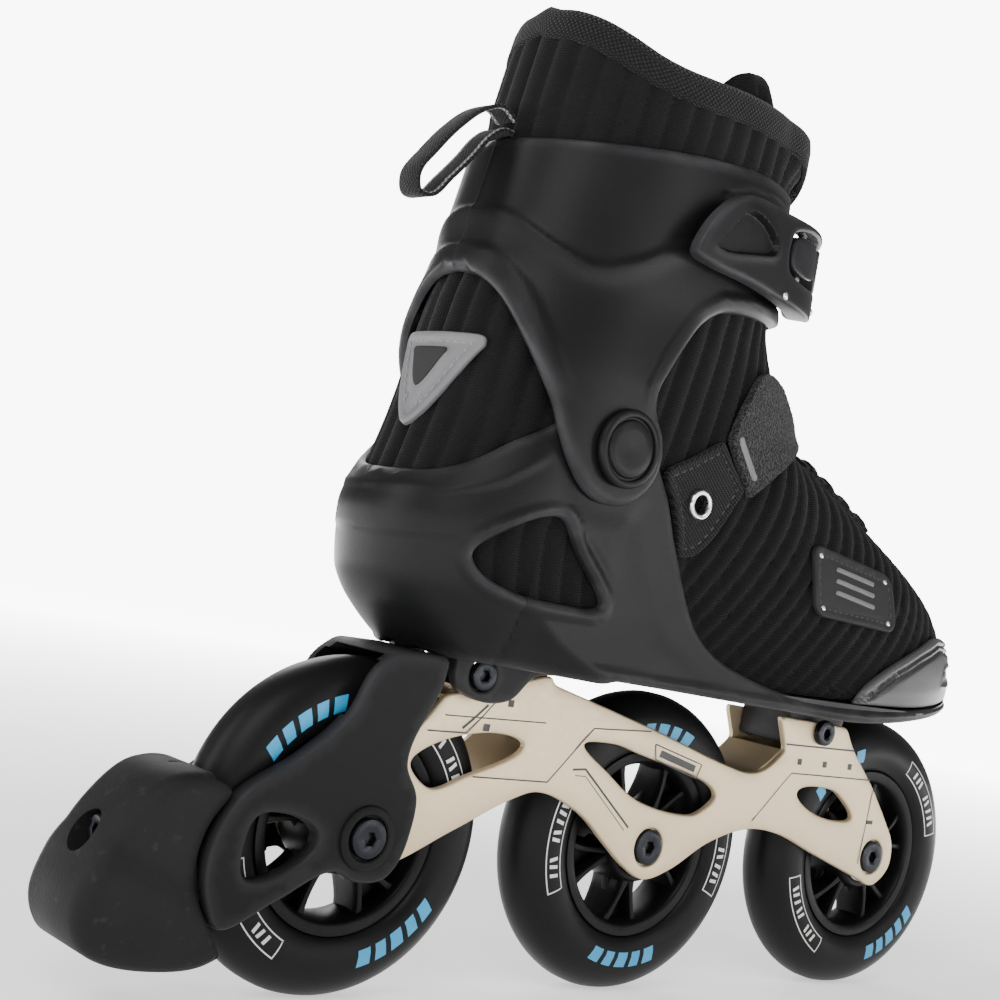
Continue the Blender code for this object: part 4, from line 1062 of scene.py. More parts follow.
FRAME_WINDOWS = [
    [(0.0765, 0.079), (0.098, 0.081), (0.103, 0.079), (0.113, 0.070), (0.111, 0.069), (0.077, 0.0775)],
    [(-0.040, 0.090), (-0.025, 0.091), (-0.015, 0.089), (0.031, 0.075), (0.022, 0.068), (0.0165, 0.0674),
     (-0.006, 0.0706), (-0.014, 0.0735), (-0.025, 0.080)],
    [(-0.099, 0.088), (-0.068, 0.089), (-0.067, 0.088), (-0.091, 0.0755), (-0.104, 0.071), (-0.114, 0.079)],
]


def drawn_faces(n):
    """Faces of an outline of n points that is drawn out from one end to the other."""
    walls = [(i, i + n, (i + 1) % n + n, (i + 1) % n) for i in range(n)]
    return [tuple(range(n)), tuple(range(2 * n - 1, n - 1, -1)), *walls]


def prism(outline, low_y, high_y):
    """A side-view outline drawn out across the skate, as vertices and faces."""
    points = [(x, y, z) for y in (low_y, high_y) for x, z in outline]
    return np.array(points), drawn_faces(len(outline))


def as_part(points, faces):
    """Vertices and faces in the form that make_mesh takes, with no flat places or rims."""
    return points, faces, np.zeros((len(points), 2)), np.zeros(len(points))


def frame_swell(flat, base, depth):
    """A crease along the upper rail and a slight crown, so that the walls don't read as flat sheet."""
    x, z = flat.T
    rail = np.clip(1 - abs(z - (0.0965 - 0.12 * (x + 0.06) ** 2 - 0.05 * abs(x + 0.06))) / 0.004, 0, 1)
    return 0.25 * MM * rail + 0.35 * MM * np.clip(depth / (6 * MM), 0, 1)


def make_frame():
    """Two windowed walls, bosses at the axles, and a bridge behind each end mount."""
    outline = smooth_loop(FRAME_OUTLINE, FRAME_CORNERS, 1.2 * MM, 3)
    windows = [smooth_loop(w, (), 0.9 * MM, 3) for w in FRAME_WINDOWS]
    bores = [np.array(circle(x, WHEEL_RADIUS, 7.0 * MM, 40)) for x in (0.0, AXLE_PITCH)]
    parts = []
    for centre in WHEEL_PLACES.values():
        for side in (-1, 1):
            mesh_data = bmesh.new()
            far = WALL_INSIDE + 0.7 * MM
            ring = [(BOSS_INSIDE, 4.2 * MM), (BOSS_INSIDE, 8.6 * MM), (BOSS_INSIDE + 0.4 * MM, 9 * MM),
                    (far, 9 * MM),
                    (far, 4.2 * MM)]
            ring = [(side * y, r) for y, r in ring]
            turned("boss", ring, None, (centre, 0, WHEEL_RADIUS), sides=48, closed=False,
                   mesh_data=mesh_data)
            mesh_data.verts.index_update()
            points = np.array([v.co for v in mesh_data.verts])
            faces = [tuple(v.index for v in f.verts) for f in mesh_data.faces]
            mesh_data.free()
            parts.append(as_part(points, faces))
    inner = WALL_INSIDE + 0.2 * MM
    rear_bridge = [(-0.0925, 0.1005), (-0.0605, 0.1005), (-0.0605, 0.1118), (-0.066, 0.1108),
                   (-0.0925, 0.1045)]
    front_bridge = [(0.053, 0.0842), (0.0775, 0.0842), (0.0775, 0.0930), (0.0655, 0.0950), (0.0600, 0.0905),
                    (0.0545, 0.0865)]
    parts.append(as_part(*prism(rear_bridge, -inner, inner)))
    parts.append(as_part(*prism(front_bridge, -inner, inner)))
    skin("frame_walls", [outline, *windows, *bores], 0.0, WALL_OUTSIDE - WALL_INSIDE, champagne(), "boot",
         ["frame"],
         chart=FlatChart(WALL_INSIDE), grid=3.0 * MM, edge=0.8 * MM, relief=frame_swell, parts=parts,
         sharp=40.0)


# ---------------------------------------------------------------- solid blocks and cuts

def block_mesh(name, outline, half_width, edge, grid=3.0 * MM, holes=()):
    """A side-view outline drawn out equally to both sides, with rounded side edges."""
    patch = Patch(FlatChart(0.0), [outline, *holes], grid, edge)
    return make_mesh(name, [patch.build(0.0, half_width, side, back=False) for side in (-1, 1)])


def plain_object(name, mesh):
    item = bpy.data.objects.new(name, mesh)
    bpy.context.scene.collection.objects.link(item)
    return item


def rod(centre, radius, low, high, axis, count=48):
    """A plain round bar as vertices and faces; centre holds the two coordinates across its axis."""
    ring = circle(centre[0], centre[1], radius, count)
    order = {"X": lambda a, b, t: (t, a, b), "Y": lambda a, b, t: (a, t, b)}[axis]
    points = [order(a, b, t) for t in (low, high) for a, b in ring]
    return np.array(points), drawn_faces(count)


def carve(mesh, tools, operation="DIFFERENCE"):
    """Applies exact cuts, or unions, to a mesh and returns the result."""
    item = plain_object("work", mesh)
    made = [item]
    for points, faces in tools:
        tool_mesh = bpy.data.meshes.new("tool")
        mesh_data = bmesh.new()
        verts = [mesh_data.verts.new(p) for p in points]
        for face in faces:
            mesh_data.faces.new([verts[i] for i in face])
        bmesh.ops.recalc_face_normals(mesh_data, faces=mesh_data.faces)
        mesh_data.to_mesh(tool_mesh)
        mesh_data.free()
        tool = plain_object("tool", tool_mesh)
        made.append(tool)
        modifier = item.modifiers.new("cut", "BOOLEAN")
        modifier.operation = operation
        modifier.object = tool
    graph = bpy.context.evaluated_depsgraph_get()
    result = bpy.data.meshes.new_from_object(item.evaluated_get(graph))
    for one in made:
        bpy.data.objects.remove(one)
    return result


# ---------------------------------------------------------------- brake

BRAKE_ARM = [
    (-0.109, 0.105), (-0.118, 0.079), (-0.112, 0.069), (-0.112, 0.058), (-0.115, 0.047), (-0.120, 0.0415),
    (-0.132, 0.041), (-0.138, 0.044), (-0.159, 0.034), (-0.1775, 0.0255), (-0.182, 0.032), (-0.1848, 0.043),
    (-0.183, 0.055), (-0.1765, 0.0665), (-0.158, 0.079), (-0.143, 0.093), (-0.136, 0.108), (-0.128, 0.1145),
    (-0.108, 0.1145),
]
BRAKE_WINDOW = [(-0.170, 0.060), (-0.148, 0.0565), (-0.147, 0.053), (-0.160, 0.042), (-0.171, 0.041),
                (-0.173, 0.045)]
BRAKE_PAD = [
    (-0.1783, 0.0255), (-0.1826, 0.032), (-0.1854, 0.043), (-0.1836, 0.0553), (-0.1772, 0.067),
    (-0.186, 0.0715), (-0.198, 0.070), (-0.211, 0.058), (-0.219, 0.044), (-0.223, 0.029), (-0.219, 0.019),
    (-0.212, 0.0150), (-0.195, 0.0125), (-0.181, 0.0135), (-0.173, 0.017),
]
BRAKE_SIDE = 20 * MM
ARM_INSIDE = 15.9 * MM
TONGUE_SIDE = 16 * MM
PAD_BOLT_Z = 50 * MM


def wheel_room(half_width, radius=57.6 * MM):
    return rod((-AXLE_PITCH, WHEEL_RADIUS), radius, -half_width, half_width, "Y", 128)


def make_brake_bracket():
    """A forked arm that hangs on the rear axle, arches over the wheel and carries the pad behind it."""
    outline = smooth_loop(BRAKE_ARM, (0, 17, 18), 1.3 * MM, 3)
    window = smooth_loop(BRAKE_WINDOW, (), 1.0 * MM, 3)
    mesh = block_mesh("brake_bracket_body", outline, BRAKE_SIDE, 1.6 * MM, 2.8 * MM, [window])
    slot = [(-0.188, 0.02), (-0.105, 0.02), (-0.105, 0.1), (-0.104, 0.111), (-0.1435, 0.111),
            (-0.1435, 0.12),
            (-0.188, 0.12)]
    frame_room = [(-0.1435, 0.03), (-0.1, 0.03), (-0.1, 0.1105), (-0.1435, 0.1105)]
    tools = [prism(slot, -13.6 * MM, 13.6 * MM), wheel_room(13.7 * MM),
             prism(frame_room, -ARM_INSIDE, ARM_INSIDE)]
    for side in (-1, 1):
        tools.append(rod((-AXLE_PITCH, WHEEL_RADIUS), 6.9 * MM, *sorted((side * 19.2 * MM, side * 25 * MM)),
                         "Y"))
    mesh = carve(mesh, tools)
    finish_piece("brake_bracket_body", mesh, brake_plastic(), "boot", ["brake_bracket"], 38.0)
    tongue = [(-0.1935, 0.033), (-0.175, 0.033), (-0.175, 0.064), (-0.1935, 0.064)]
    stub = block_mesh("brake_tongue", smooth_loop(tongue, (0, 1, 2, 3), 1.5 * MM, 1), TONGUE_SIDE, 1.0 * MM)
    stub = carve(stub, [wheel_room(20 * MM)])
    finish_piece("brake_tongue", stub, brake_plastic(), "boot")
    make_bracket_ribs()


def make_bracket_ribs():
    """Raised rims round the axle seat on each side."""
    for side, face in SIDES:
        seat = [(19.6, 7.2), (20.9, 7.3), (21.3, 7.8), (21.3, 9.6), (20.9, 10.2), (19.6, 10.6)]
        seat = in_mm(seat, side)
        turned(f"brake_{face}_seat", seat, brake_plastic(), (-AXLE_PITCH, 0, WHEEL_RADIUS), "boot",
               closed=False)


def pad_flare(flat, base, depth):
    """The pad's sides lean in above a soft shoulder that runs down towards the heel of the pad."""
    x, z = flat.T
    shoulder = 0.0235 + 0.42 * np.clip(-0.172 - x, 0, 0.05)
    high = np.clip((z - shoulder) / (9 * MM), 0, 1)
    rear = np.clip((-0.196 - x) / 0.026, 0, 1)
    return -(2.6 * MM * high**1.3 + 2.8 * MM * rear**1.5)


def make_brake_pad():
    """A rubber block that caps the bracket's tongue, with a bolt sunk in its rear slope."""
    outline = smooth_loop(BRAKE_PAD, (14,), 1.3 * MM, 3)
    patch = Patch(FlatChart(0.0), [outline], 2.0 * MM, 5.0 * MM)
    parts = [patch.build(0.0, BRAKE_SIDE + 0.8 * MM, side, pad_flare, back=False) for side in (-1, 1)]
    mesh = make_mesh("brake_pad_body", parts)
    pocket = [(-0.194, 0.0325), (-0.16, 0.0325), (-0.16, 0.0645), (-0.194, 0.0645)]
    half = TONGUE_SIDE + 0.3 * MM
    slit = [(-0.1925, 0.0640), (-0.1775, 0.0640), (-0.1775, 0.0780), (-0.1925, 0.0780)]
    tools = [prism(pocket, -half, half), wheel_room(half + 0.2 * MM),
             rod((0, PAD_BOLT_Z), 3.1 * MM, -0.23, -0.17, "X"),
             rod((0, PAD_BOLT_Z), 6.2 * MM, -0.23, -0.2075, "X", 64), prism(slit, -0.6 * MM, 0.6 * MM)]
    mesh = carve(mesh, tools)
    finish_piece("brake_pad_body", mesh, pad_rubber(), "boot", ["brake_pad"], 34.0)


def make_brake_bolt():
    spot = (0, 0, PAD_BOLT_Z)
    profile = [(-0.2106, 0.05 * MM), (-0.2106, 2.2 * MM, "hex"), (-0.2123, 2.2 * MM, "hex"),
               (-0.2125, 2.6 * MM),
               (-0.2125, 4.3 * MM), (-0.2121, 4.8 * MM), (-0.2116, 5.0 * MM), (-0.2078, 5.0 * MM),
               (-0.2078, 2.8 * MM),
               (-0.1895, 2.8 * MM)]
    turned("brake_bolt_body", profile, dark_steel(), spot, "boot", ["brake_pad_bolt"], axis="X")
    nut = [(-0.1877, 3.1 * MM), (-0.1877, 5.0 * MM, "hex"), (-0.1875, 5.4 * MM, "hex"),
           (-0.1862, 5.4 * MM, "hex"),
           (-0.1860, 5.0 * MM, "hex"), (-0.1860, 3.1 * MM)]
    turned("brake_nut_body", nut, bright(), spot, "boot", ["brake_pad_nut"], axis="X")


# ---------------------------------------------------------------- relief and sweeps

def above(line, x, z, soft):
    """1 above a side-view line whose points run forwards, 0 below it, and soft across it."""
    xs, zs = np.array(line).T
    return smoothstep((z - np.interp(x, xs, zs)) / soft + 0.5)


def gap_to(line, base):
    """Side-view distance from places on the boot to a line."""
    return reach_to([np.array(line, float)], base[:, [0, 2]])


def front_x(z, half):
    """The side-view x where the boot's front narrows to a half-width at height z."""
    low, t = RING.row(np.array(z))
    x = RING.x[low] * (1 - t) + RING.x[low + 1] * t
    h = RING.half[low] * (1 - t) + RING.half[low + 1] * t
    k = np.nonzero(h > half)[0].max()
    return float(np.interp(half, [h[k + 1], h[k]], [x[k + 1], x[k]]))


def on_seam(z, share):
    """A place on the flat map where the boot's two halves meet: share 0 at the back, 1 at the front."""
    return (share * float(RING.around(np.array(z))), z)


def sweep(name, spots, outs, section, material, body, replaces=(), closed=True, ups=None, sharp=50.0):
    """A section of (out, up) points drawn along spots, mapped flat in metres for woven materials."""
    spots = [Vector(s) for s in spots]
    mesh_data = bmesh.new()
    layer = mesh_data.loops.layers.uv.new("UVMap")
    rings = []
    run = [0.0]
    for i, spot in enumerate(spots):
        along = (spots[min(i + 1, len(spots) - 1)] - spots[max(i - 1, 0)]).normalized()
        out = Vector(outs[i]).normalized()
        up = Vector(ups[i]) if ups is not None else along.cross(out)
        up = up.normalized() if up.z >= 0 or ups is not None else -up.normalized()
        shape = section(i) if callable(section) else section
        rings.append([mesh_data.verts.new(spot + out * a + up * b) for a, b in shape])
        if i:
            run.append(run[-1] + (spot - spots[i - 1]).length)
    count = len(rings[0])
    for i in range(len(rings) - 1):
        for j in range(count):
            k = (j + 1) % count
            face = mesh_data.faces.new((rings[i][j], rings[i][k], rings[i + 1][k], rings[i + 1][j]))
            wide = (rings[i][j].co - rings[i][k].co).length
            corners = ((run[i], 0), (run[i], wide), (run[i + 1], wide), (run[i + 1], 0))
            for loop, corner in zip(face.loops, corners):
                loop[layer].uv = corner
    if closed:
        mesh_data.faces.new(rings[0])
        mesh_data.faces.new(rings[-1])
    return new_piece(name, mesh_data, material, body, replaces, sharp)


def tube(name, path, radius, material, body, replaces=(), sides=10):
    """A round wire or cord along a path."""
    outs = []
    ups = []
    points = [Vector(p) for p in path]
    for i in range(len(points)):
        along = (points[min(i + 1, len(points) - 1)] - points[max(i - 1, 0)]).normalized()
        out = along.cross(Vector((0, 0, 1)))
        out = out.normalized() if out.length > 0.1 else Vector((1, 0, 0))
        outs.append(out)
        ups.append(out.cross(along))
    section = circle(0, 0, radius, sides)
    return sweep(name, points, outs, section, material, body, replaces, ups=ups)


def button(name, spot, outward, profile, material, body, replaces=(), sides=36, mesh_data=None, closed=True):
    """A small turned piece that stands on a place; profile is (radius, height off the place)."""
    turn = Vector((0, 0, 1)).rotation_difference(Vector(outward)).to_matrix()
    own = mesh_data is None
    mesh_data = bmesh.new() if own else mesh_data
    rings = []
    for radius, up in profile:
        ring = [Vector((a, b, up)) for a, b in circle(0, 0, radius, sides)]
        rings.append([Vector(spot) + turn @ p for p in ring])
    add_rings(mesh_data, rings, closed)
    if own:
        return new_piece(name, mesh_data, material, body, replaces, sharp=35.0)
    return None


def dome(radius, height, foot=0.0):
    """Profile of a low round head."""
    steps = [k * math.pi / 12 for k in range(7)]
    return [(radius, foot),
            *[(max(radius * math.cos(a), 0.03 * MM), foot + height * math.sin(a)) for a in steps[1:]]]


def stitches(name, chart, line, lift, material, body, side, length=2.0 * MM, gap=1.3 * MM, wide=0.35 * MM):
    """Short raised threads along a line on a chart."""
    line = np.array(line)
    run = np.concatenate([[0], np.cumsum(np.linalg.norm(np.diff(line, axis=0), axis=1))])
    mesh_data = bmesh.new()
    start = gap / 2
    while start + length < run[-1]:
        at = np.linspace(start, start + length, 5)
        flat = np.stack([np.interp(at, run, line[:, k]) for k in (0, 1)], -1)
        spots = chart.spot(flat, side)
        outs = chart.outward(flat, side)
        rings = []
        for k in range(5):
            along = Vector(spots[min(k + 1, 4)] - spots[max(k - 1, 0)]).normalized()
            out = Vector(outs[k])
            across = along.cross(out)
            size = wide * (0.35, 1.0, 1.1, 1.0, 0.35)[k]
            middle = Vector(spots[k]) + out * (lift + 0.25 * wide * math.sin(math.pi * k / 4))
            ring = []
            for m in range(6):
                a = math.pi * m / 3
                ring.append(middle + across * size * math.cos(a) + out * size * 0.7 * math.sin(a))
            rings.append(ring)
        add_rings(mesh_data, rings)
        start += length + gap
    return new_piece(name, mesh_data, material, body)


def inset_loop(loop, distance):
    """A closed outline drawn in by a distance, as an open line that ends where it starts."""
    loop = np.array(loop)
    sign = 1 if area_of(loop) > 0 else -1
    inner = inset_points(loop, distance, [loop], sign)
    return np.concatenate([inner, inner[:1]])


# ---------------------------------------------------------------- shell and toe guard

SHELL_OUTLINE = [
    (-0.15, 0.1165), (-0.105, 0.1163), (0.024, 0.1125), (0.072, 0.1115), (0.114, 0.1155), (0.170, 0.1255),
    (0.170, 0.1275), (0.114, 0.1195), (0.070, 0.1175), (0.034, 0.1178), (0.009, 0.122), (-0.009, 0.128),
    (-0.020, 0.136), (-0.027, 0.146), (-0.033, 0.157), (-0.039, 0.168), (-0.044, 0.178), (-0.0535, 0.191),
    (-0.0595, 0.2035), (-0.0735, 0.2095), (-0.0875, 0.2035), (-0.098, 0.194), (-0.110, 0.186),
    (-0.121, 0.177), (-0.130, 0.172), (-0.15, 0.171),
]
SHELL_LOW_EDGE = SHELL_OUTLINE[:6]
SHELL_RIM = SHELL_OUTLINE[20:]
SHELL_CORNERS = (0, 5, 6, 25)
SHELL_WINDOW = [(-0.118, 0.149), (-0.114, 0.1545), (-0.090, 0.165), (-0.081, 0.155), (-0.066, 0.139),
                (-0.083, 0.1375), (-0.106, 0.140), (-0.115, 0.144)]
SHELL_LEDGE = [(-0.140, 0.1500), (-0.121, 0.1535), (-0.108, 0.1600), (-0.092, 0.1690), (-0.078, 0.1600),
               (-0.062, 0.1480), (-0.030, 0.1420)]
HEEL_LIP = [(-0.140, 0.1630), (-0.126, 0.1645), (-0.112, 0.1720), (-0.098, 0.1830)]
REAR_LUG = [(-0.106, 0.1174), (-0.1045, 0.106), (-0.098, 0.1025), (-0.089, 0.101), (-0.080, 0.103),
            (-0.072, 0.111), (-0.056, 0.115), (-0.056, 0.1174)]
FRONT_LUG = [(0.068, 0.0975), (0.089, 0.0975), (0.1005, 0.106), (0.1005, 0.1165), (0.068, 0.1160)]
LUG_INSIDE = 15.9 * MM
LUG_OUTSIDE = 20 * MM
SOLE_TOP = 0.118


def shell_relief(flat, base, depth):
    """A heel lip, a ledge that runs round the window, a raised window border and a rib along the sole."""
    x, z = base[:, 0], base[:, 2]
    window = smooth_loop(SHELL_WINDOW, (), 1.5 * MM, 2)
    border = close_to(gap_to(np.concatenate([window, window[:1]]), base), 3.2 * MM, 1.3 * MM)
    ledge = above(SHELL_LEDGE, x, z, 1.6 * MM) * smoothstep((-0.058 - x) / 0.012)
    lip = above(HEEL_LIP, x, z, 2.0 * MM) * smoothstep((-0.095 - x) / 0.010)
    rib = close_to(gap_to(SHELL_LOW_EDGE[1:], base), 3.2 * MM, 1.2 * MM)
    swoop = hump(gap_to([(-0.060, 0.176), (-0.050, 0.155), (-0.036, 0.135), (-0.010, 0.122)], base), 6 * MM)
    room = smoothstep((np.hypot(x - PIVOT[0], z - PIVOT[1]) - 20 * MM) / (8 * MM))
    chamfer = np.clip(1 - gap_to(SHELL_RIM, base) / (8 * MM), 0, 1)
    return MM * (0.8 * border + 0.45 * ledge + 0.8 * lip + 0.6 * rib - 0.5 * swoop - 2.2 * chamfer) * room


def sole_low(x):
    xs, zs = np.array(SHELL_LOW_EDGE).T
    return np.interp(x, xs, zs)


class FloorChart(OpenChart):
    """A level sheet, whose flat map is x and y; side 1 faces up and side -1 faces down."""

    def __init__(self, height):
        self.height = height

    def spot(self, flat, side):
        return np.stack([flat[:, 0], flat[:, 1], np.full(len(flat), self.height)], -1)

    def outward(self, flat, side):
        return np.tile([0.0, 0.0, float(side)], (len(flat), 1))


def level_outline(z, offset, count=90):
    """The boot's outline at one height, set off by a distance, as x and y."""
    share = (1 - np.cos(np.linspace(0, np.pi, count))) / 2
    flat = np.stack([share * float(RING.around(np.array(z))), np.full(count, z)], -1)
    halves = []
    for side in (-1, 1):
        points = RING.spot(flat, side) + RING.outward(flat, side) * offset
        halves.append(points[:, :2])
    return np.concatenate([halves[0], halves[1][-2:0:-1]])


def make_sole():
    """The plate under the foot, flat inside and gently keeled below."""
    def top(x):
        return np.where(x > 0.10, sole_low(x) + 3 * MM, np.maximum(SOLE_TOP, sole_low(x) + 2.4 * MM))

    def floor(flat, base):
        return SOLE_TOP - top(flat[:, 0])

    def keel(flat, base, depth):
        x = flat[:, 0]
        return top(x) - sole_low(x) - 2 * MM

    patch = Patch(FloorChart(SOLE_TOP), [level_outline(0.1165, 3.2 * MM)], 4 * MM, 2.5 * MM)
    mesh = make_mesh("sole_plate", [patch.build(floor, 2 * MM, -1, keel)])
    finish_piece("sole_plate", mesh, shell_plastic(), "boot")


def make_shell():
    """The hard lower boot: heel cup, side arms with a window, sole and the lugs that take the frame bolts."""
    outline = smooth_loop(SHELL_OUTLINE, SHELL_CORNERS, 1.2 * MM, 2)
    window = smooth_loop(SHELL_WINDOW, (), 1.0 * MM, 3)
    skin("shell_body", [outline, window], SHELL_GAP, SHELL_SKIN, shell_plastic(), "boot", ["shell"],
         grid=1.5 * MM, edge=2.0 * MM, relief=shell_relief)
    make_sole()
    hole = np.array(circle(REAR_BOLT[0], REAR_BOLT[1], 5.6 * MM, 32))
    skin("rear_lugs", [smooth_loop(REAR_LUG, (0, 7), 1.0 * MM, 2), hole], 0.0, LUG_OUTSIDE - LUG_INSIDE,
         shell_plastic(), "boot", chart=FlatChart(LUG_INSIDE), grid=2.0 * MM, edge=1.2 * MM)
    lug = smooth_loop(FRONT_LUG, (0, 1, 3, 4), 1.2 * MM, 1)
    mesh = block_mesh("front_lug", lug, 12.6 * MM, 0.8 * MM, 2.5 * MM)
    finish_piece("front_lug", carve(mesh, [rod(FRONT_BOLT, 3.3 * MM, -0.03, 0.03, "Y")]), shell_plastic(),
                 "boot",
                 sharp=38.0)


def make_mount_bolts():
    """A socket-head bolt through each end mount, with a hexagon nut on the inner side."""
    for place, (x, z), head, under in (("rear", REAR_BOLT, 21 * MM, 18.5 * MM),
                                       ("front", FRONT_BOLT, 18.6 * MM, 15.8 * MM)):
        profile = socket_head(head, under, 5 * MM, 3 * MM, under - 0.3 * MM, 2.1 * MM, 1.8 * MM)
        turned(f"{place}_mount_bolt_body", profile, dark_steel(), (x, 0, z), "boot", [f"{place}_mount_bolt"])
        nut = [(under, 0.05 * MM), (under, 5.0 * MM, "hex"), (under + 0.3 * MM, 5.4 * MM, "hex"),
               (head - 0.8 * MM, 5.4 * MM, "hex"), (head - 0.5 * MM, 4.9 * MM, "hex"),
               (head - 0.5 * MM, 3.1 * MM),
               (head - 1.0 * MM, 2.7 * MM), (head - 1.0 * MM, 0.05 * MM)]
        turned(f"{place}_mount_nut_body", nut, dark_steel(), (x, 0, z), "boot", [f"{place}_mount_nut"])


TOE_CAP = [(0.064, 0.1182), (0.114, 0.1203), (0.170, 0.1285), (0.170, 0.150), (0.138, 0.1465),
           (0.122, 0.1475),
           (0.104, 0.142), (0.084, 0.1335), (0.070, 0.125)]
TOE_INSET = [(0.1250, 0.1290), (0.1290, 0.1360), (0.1440, 0.1375), (0.1480, 0.1330), (0.1400, 0.1300)]


def toe_relief(flat, base, depth):
    """Two fine lines below the upper rim, and a small sunk panel at the tip with a raised border."""
    upper = gap_to(TOE_CAP[3:], base)
    lines = sum(hump(upper - at * MM, 0.6 * MM) for at in (2.6, 4.8))
    ring = np.array([*TOE_INSET, TOE_INSET[0]])
    edge = hump(gap_to(ring, base), 0.8 * MM)
    within = inside([ring[:-1]], base[:, [0, 2]])
    return MM * (0.5 * edge - 0.9 * lines - 0.6 * within + 0.5 * smoothstep(depth / (6 * MM)))


def make_toe_guard():
    outline = smooth_loop(TOE_CAP, (0, 2, 3), 1.0 * MM, 2)
    skin("toe_guard", [outline], SHELL_GAP, 2.6 * MM, toe_plastic(), "boot", ["toe_cap"], grid=0.75 * MM,
         edge=1.4 * MM, relief=toe_relief)


# ---------------------------------------------------------------- cuff

CUFF_TOP = [(-0.15, 0.2865), (-0.113, 0.2865), (-0.096, 0.288), (-0.075, 0.291), (-0.046, 0.295),
            (-0.022, 0.297), (0.002, 0.2968)]
CUFF_FRONT = [(0.002, 0.2488), (-0.022, 0.2470), (-0.036, 0.2445), (-0.0440, 0.2395), (-0.0510, 0.2310),
              (-0.0580, 0.2210), (-0.0625, 0.2120), (-0.0615, 0.2050), (-0.0570, 0.1985), (-0.0550, 0.190),
              (-0.0580, 0.181)]
CUFF_FOOT = [(-0.0655, 0.174), (-0.0755, 0.172), (-0.086, 0.175), (-0.0935, 0.182)]
CUFF_ARCH = [(-0.098, 0.191), (-0.1005, 0.199), (-0.105, 0.209), (-0.110, 0.221), (-0.1145, 0.233),
             (-0.1195, 0.2425), (-0.125, 0.247), (-0.15, 0.247)]
CUFF_SWOOP = [(-0.118, 0.2650), (-0.112, 0.2600), (-0.104, 0.2520), (-0.092, 0.2470), (-0.078, 0.2520),
              (-0.063, 0.2610), (-0.045, 0.2680), (-0.022, 0.2720), (0.02, 0.2740)]
CUFF_GROOVE = [(-0.046, 0.2835), (-0.032, 0.2885), (-0.012, 0.2900), (0.004, 0.2885)]


def cuff_inside(z):
    """The cuff stands off the boot at the ankle, where it laps over the shell, and lies close above it."""
    rise = np.clip((z - 0.212) / 0.030, 0, 1)
    return CUFF_GAP + (0.6 * MM - CUFF_GAP) * rise**2 * (3 - 2 * rise)


def cuff_relief(flat, base, depth):
    """Raised bands along the arch and the lower front, a swooping ridge, a top lip and a parting line."""
    x, z = base[:, 0], base[:, 2]
    arch = close_to(gap_to(CUFF_ARCH, base), 6.5 * MM, 1.6 * MM)
    to_front = gap_to(CUFF_FRONT, base)
    front = close_to(to_front, 6.0 * MM, 1.4 * MM)
    front -= 1.1 * np.clip(1 - to_front / (6.0 * MM), 0, 1)
    to_top = gap_to(CUFF_TOP, base)
    lip = close_to(to_top, 1.6 * MM, 1.2 * MM)
    lip -= 3.0 * np.clip(1 - to_top / (9.0 * MM), 0, 1) * smoothstep((x + 0.075) / 0.045)
    swoop = gap_to(smooth_line(CUFF_SWOOP, 2 * MM), base)
    over = above(CUFF_SWOOP, x, z, 0.5 * MM)
    ridge = hump(swoop, (1.3 + 3.5 * (1 - over)) * MM)
    groove = hump(gap_to(CUFF_GROOVE, base), 1.1 * MM)
    parting = hump(flat[:, 0], 0.45 * MM)
    top = smoothstep((z - 0.200) / 0.012)
    return MM * ((0.9 * np.maximum(arch,
                                   front) + 0.6 * lip + 1.1 * ridge - 0.8 * groove) * top + 0.2 * parting)


def make_cuff():
    """The hinged upper support: a band round the shin on two arms that reach down to the ankle."""
    hole = np.array(circle(PIVOT[0], PIVOT[1], 4.6 * MM, 32))
    built = []
    for side, half in ((-1, 13.2 * MM), (1, 17.0 * MM)):
        edge = [(front_x(z, half), z) for z in (0.2962, 0.284, 0.272, 0.260, 0.2500)]
        outline = [*CUFF_TOP, *edge, *CUFF_FRONT, *CUFF_FOOT, *CUFF_ARCH]
        corners = (0, 7, 11, len(outline) - 1)
        loop = smooth_loop(outline, corners, 1.1 * MM, 2)
        extra = [smooth_line(np.array(CUFF_SWOOP) + (0, lift * MM), 1.0 * MM) for lift in (-0.5, 0.5)]
        patch = Patch(RING, [loop, hole], 1.5 * MM, 2.2 * MM, extra)
        built.append(patch.build(lambda flat, base: cuff_inside(base[:, 2]), CUFF_SKIN, side, cuff_relief))
    finish_piece("cuff_body", make_mesh("cuff_body", built), shell_plastic(), "ankle_cuff", ["cuff"])


def make_ankle_pivots():
    """A capped pin on each side that the cuff swings on, with a dished face."""
    near = 38.9 * MM
    face = [(1.0, 4), (8.3, 4), (8.3, 12.6), (8.6, 13), (10.0, 13), (10.6, 12.6), (10.9, 11.9), (10.9, 10.9),
            (10.7, 10.6), (9.9, 10.3), (9.9, 9.7), (10.5, 9.4), (10.8, 9.0), (10.9, 6), (10.5, 2),
            (10.45, 0.05)]
    for side, name in SIDES:
        profile = [(side * (near + up * MM), r * MM) for up, r in face]
        turned(f"{name}_pivot_cap", profile, shell_plastic(), (PIVOT[0], 0, PIVOT[1]), "boot",
               [f"{name}_ankle_pivot"])


# ---------------------------------------------------------------- liner and tongue

COLLAR_TOP = [(0.0150, 0.3085), (0.0120, 0.3140), (0.0060, 0.3185), (-0.004, 0.3210), (-0.020, 0.3220),
              (-0.040, 0.3220), (-0.055, 0.3214), (-0.068, 0.3217), (-0.077, 0.3235), (-0.086, 0.3275),
              (-0.095, 0.3325), (-0.102, 0.3362), (-0.110, 0.3375)]
THROAT_HALF = 11.5 * MM
THROAT_LOW = 0.187
RIB_PITCH = 9.4 * MM
FOOT_RIB_PITCH = 8.6 * MM


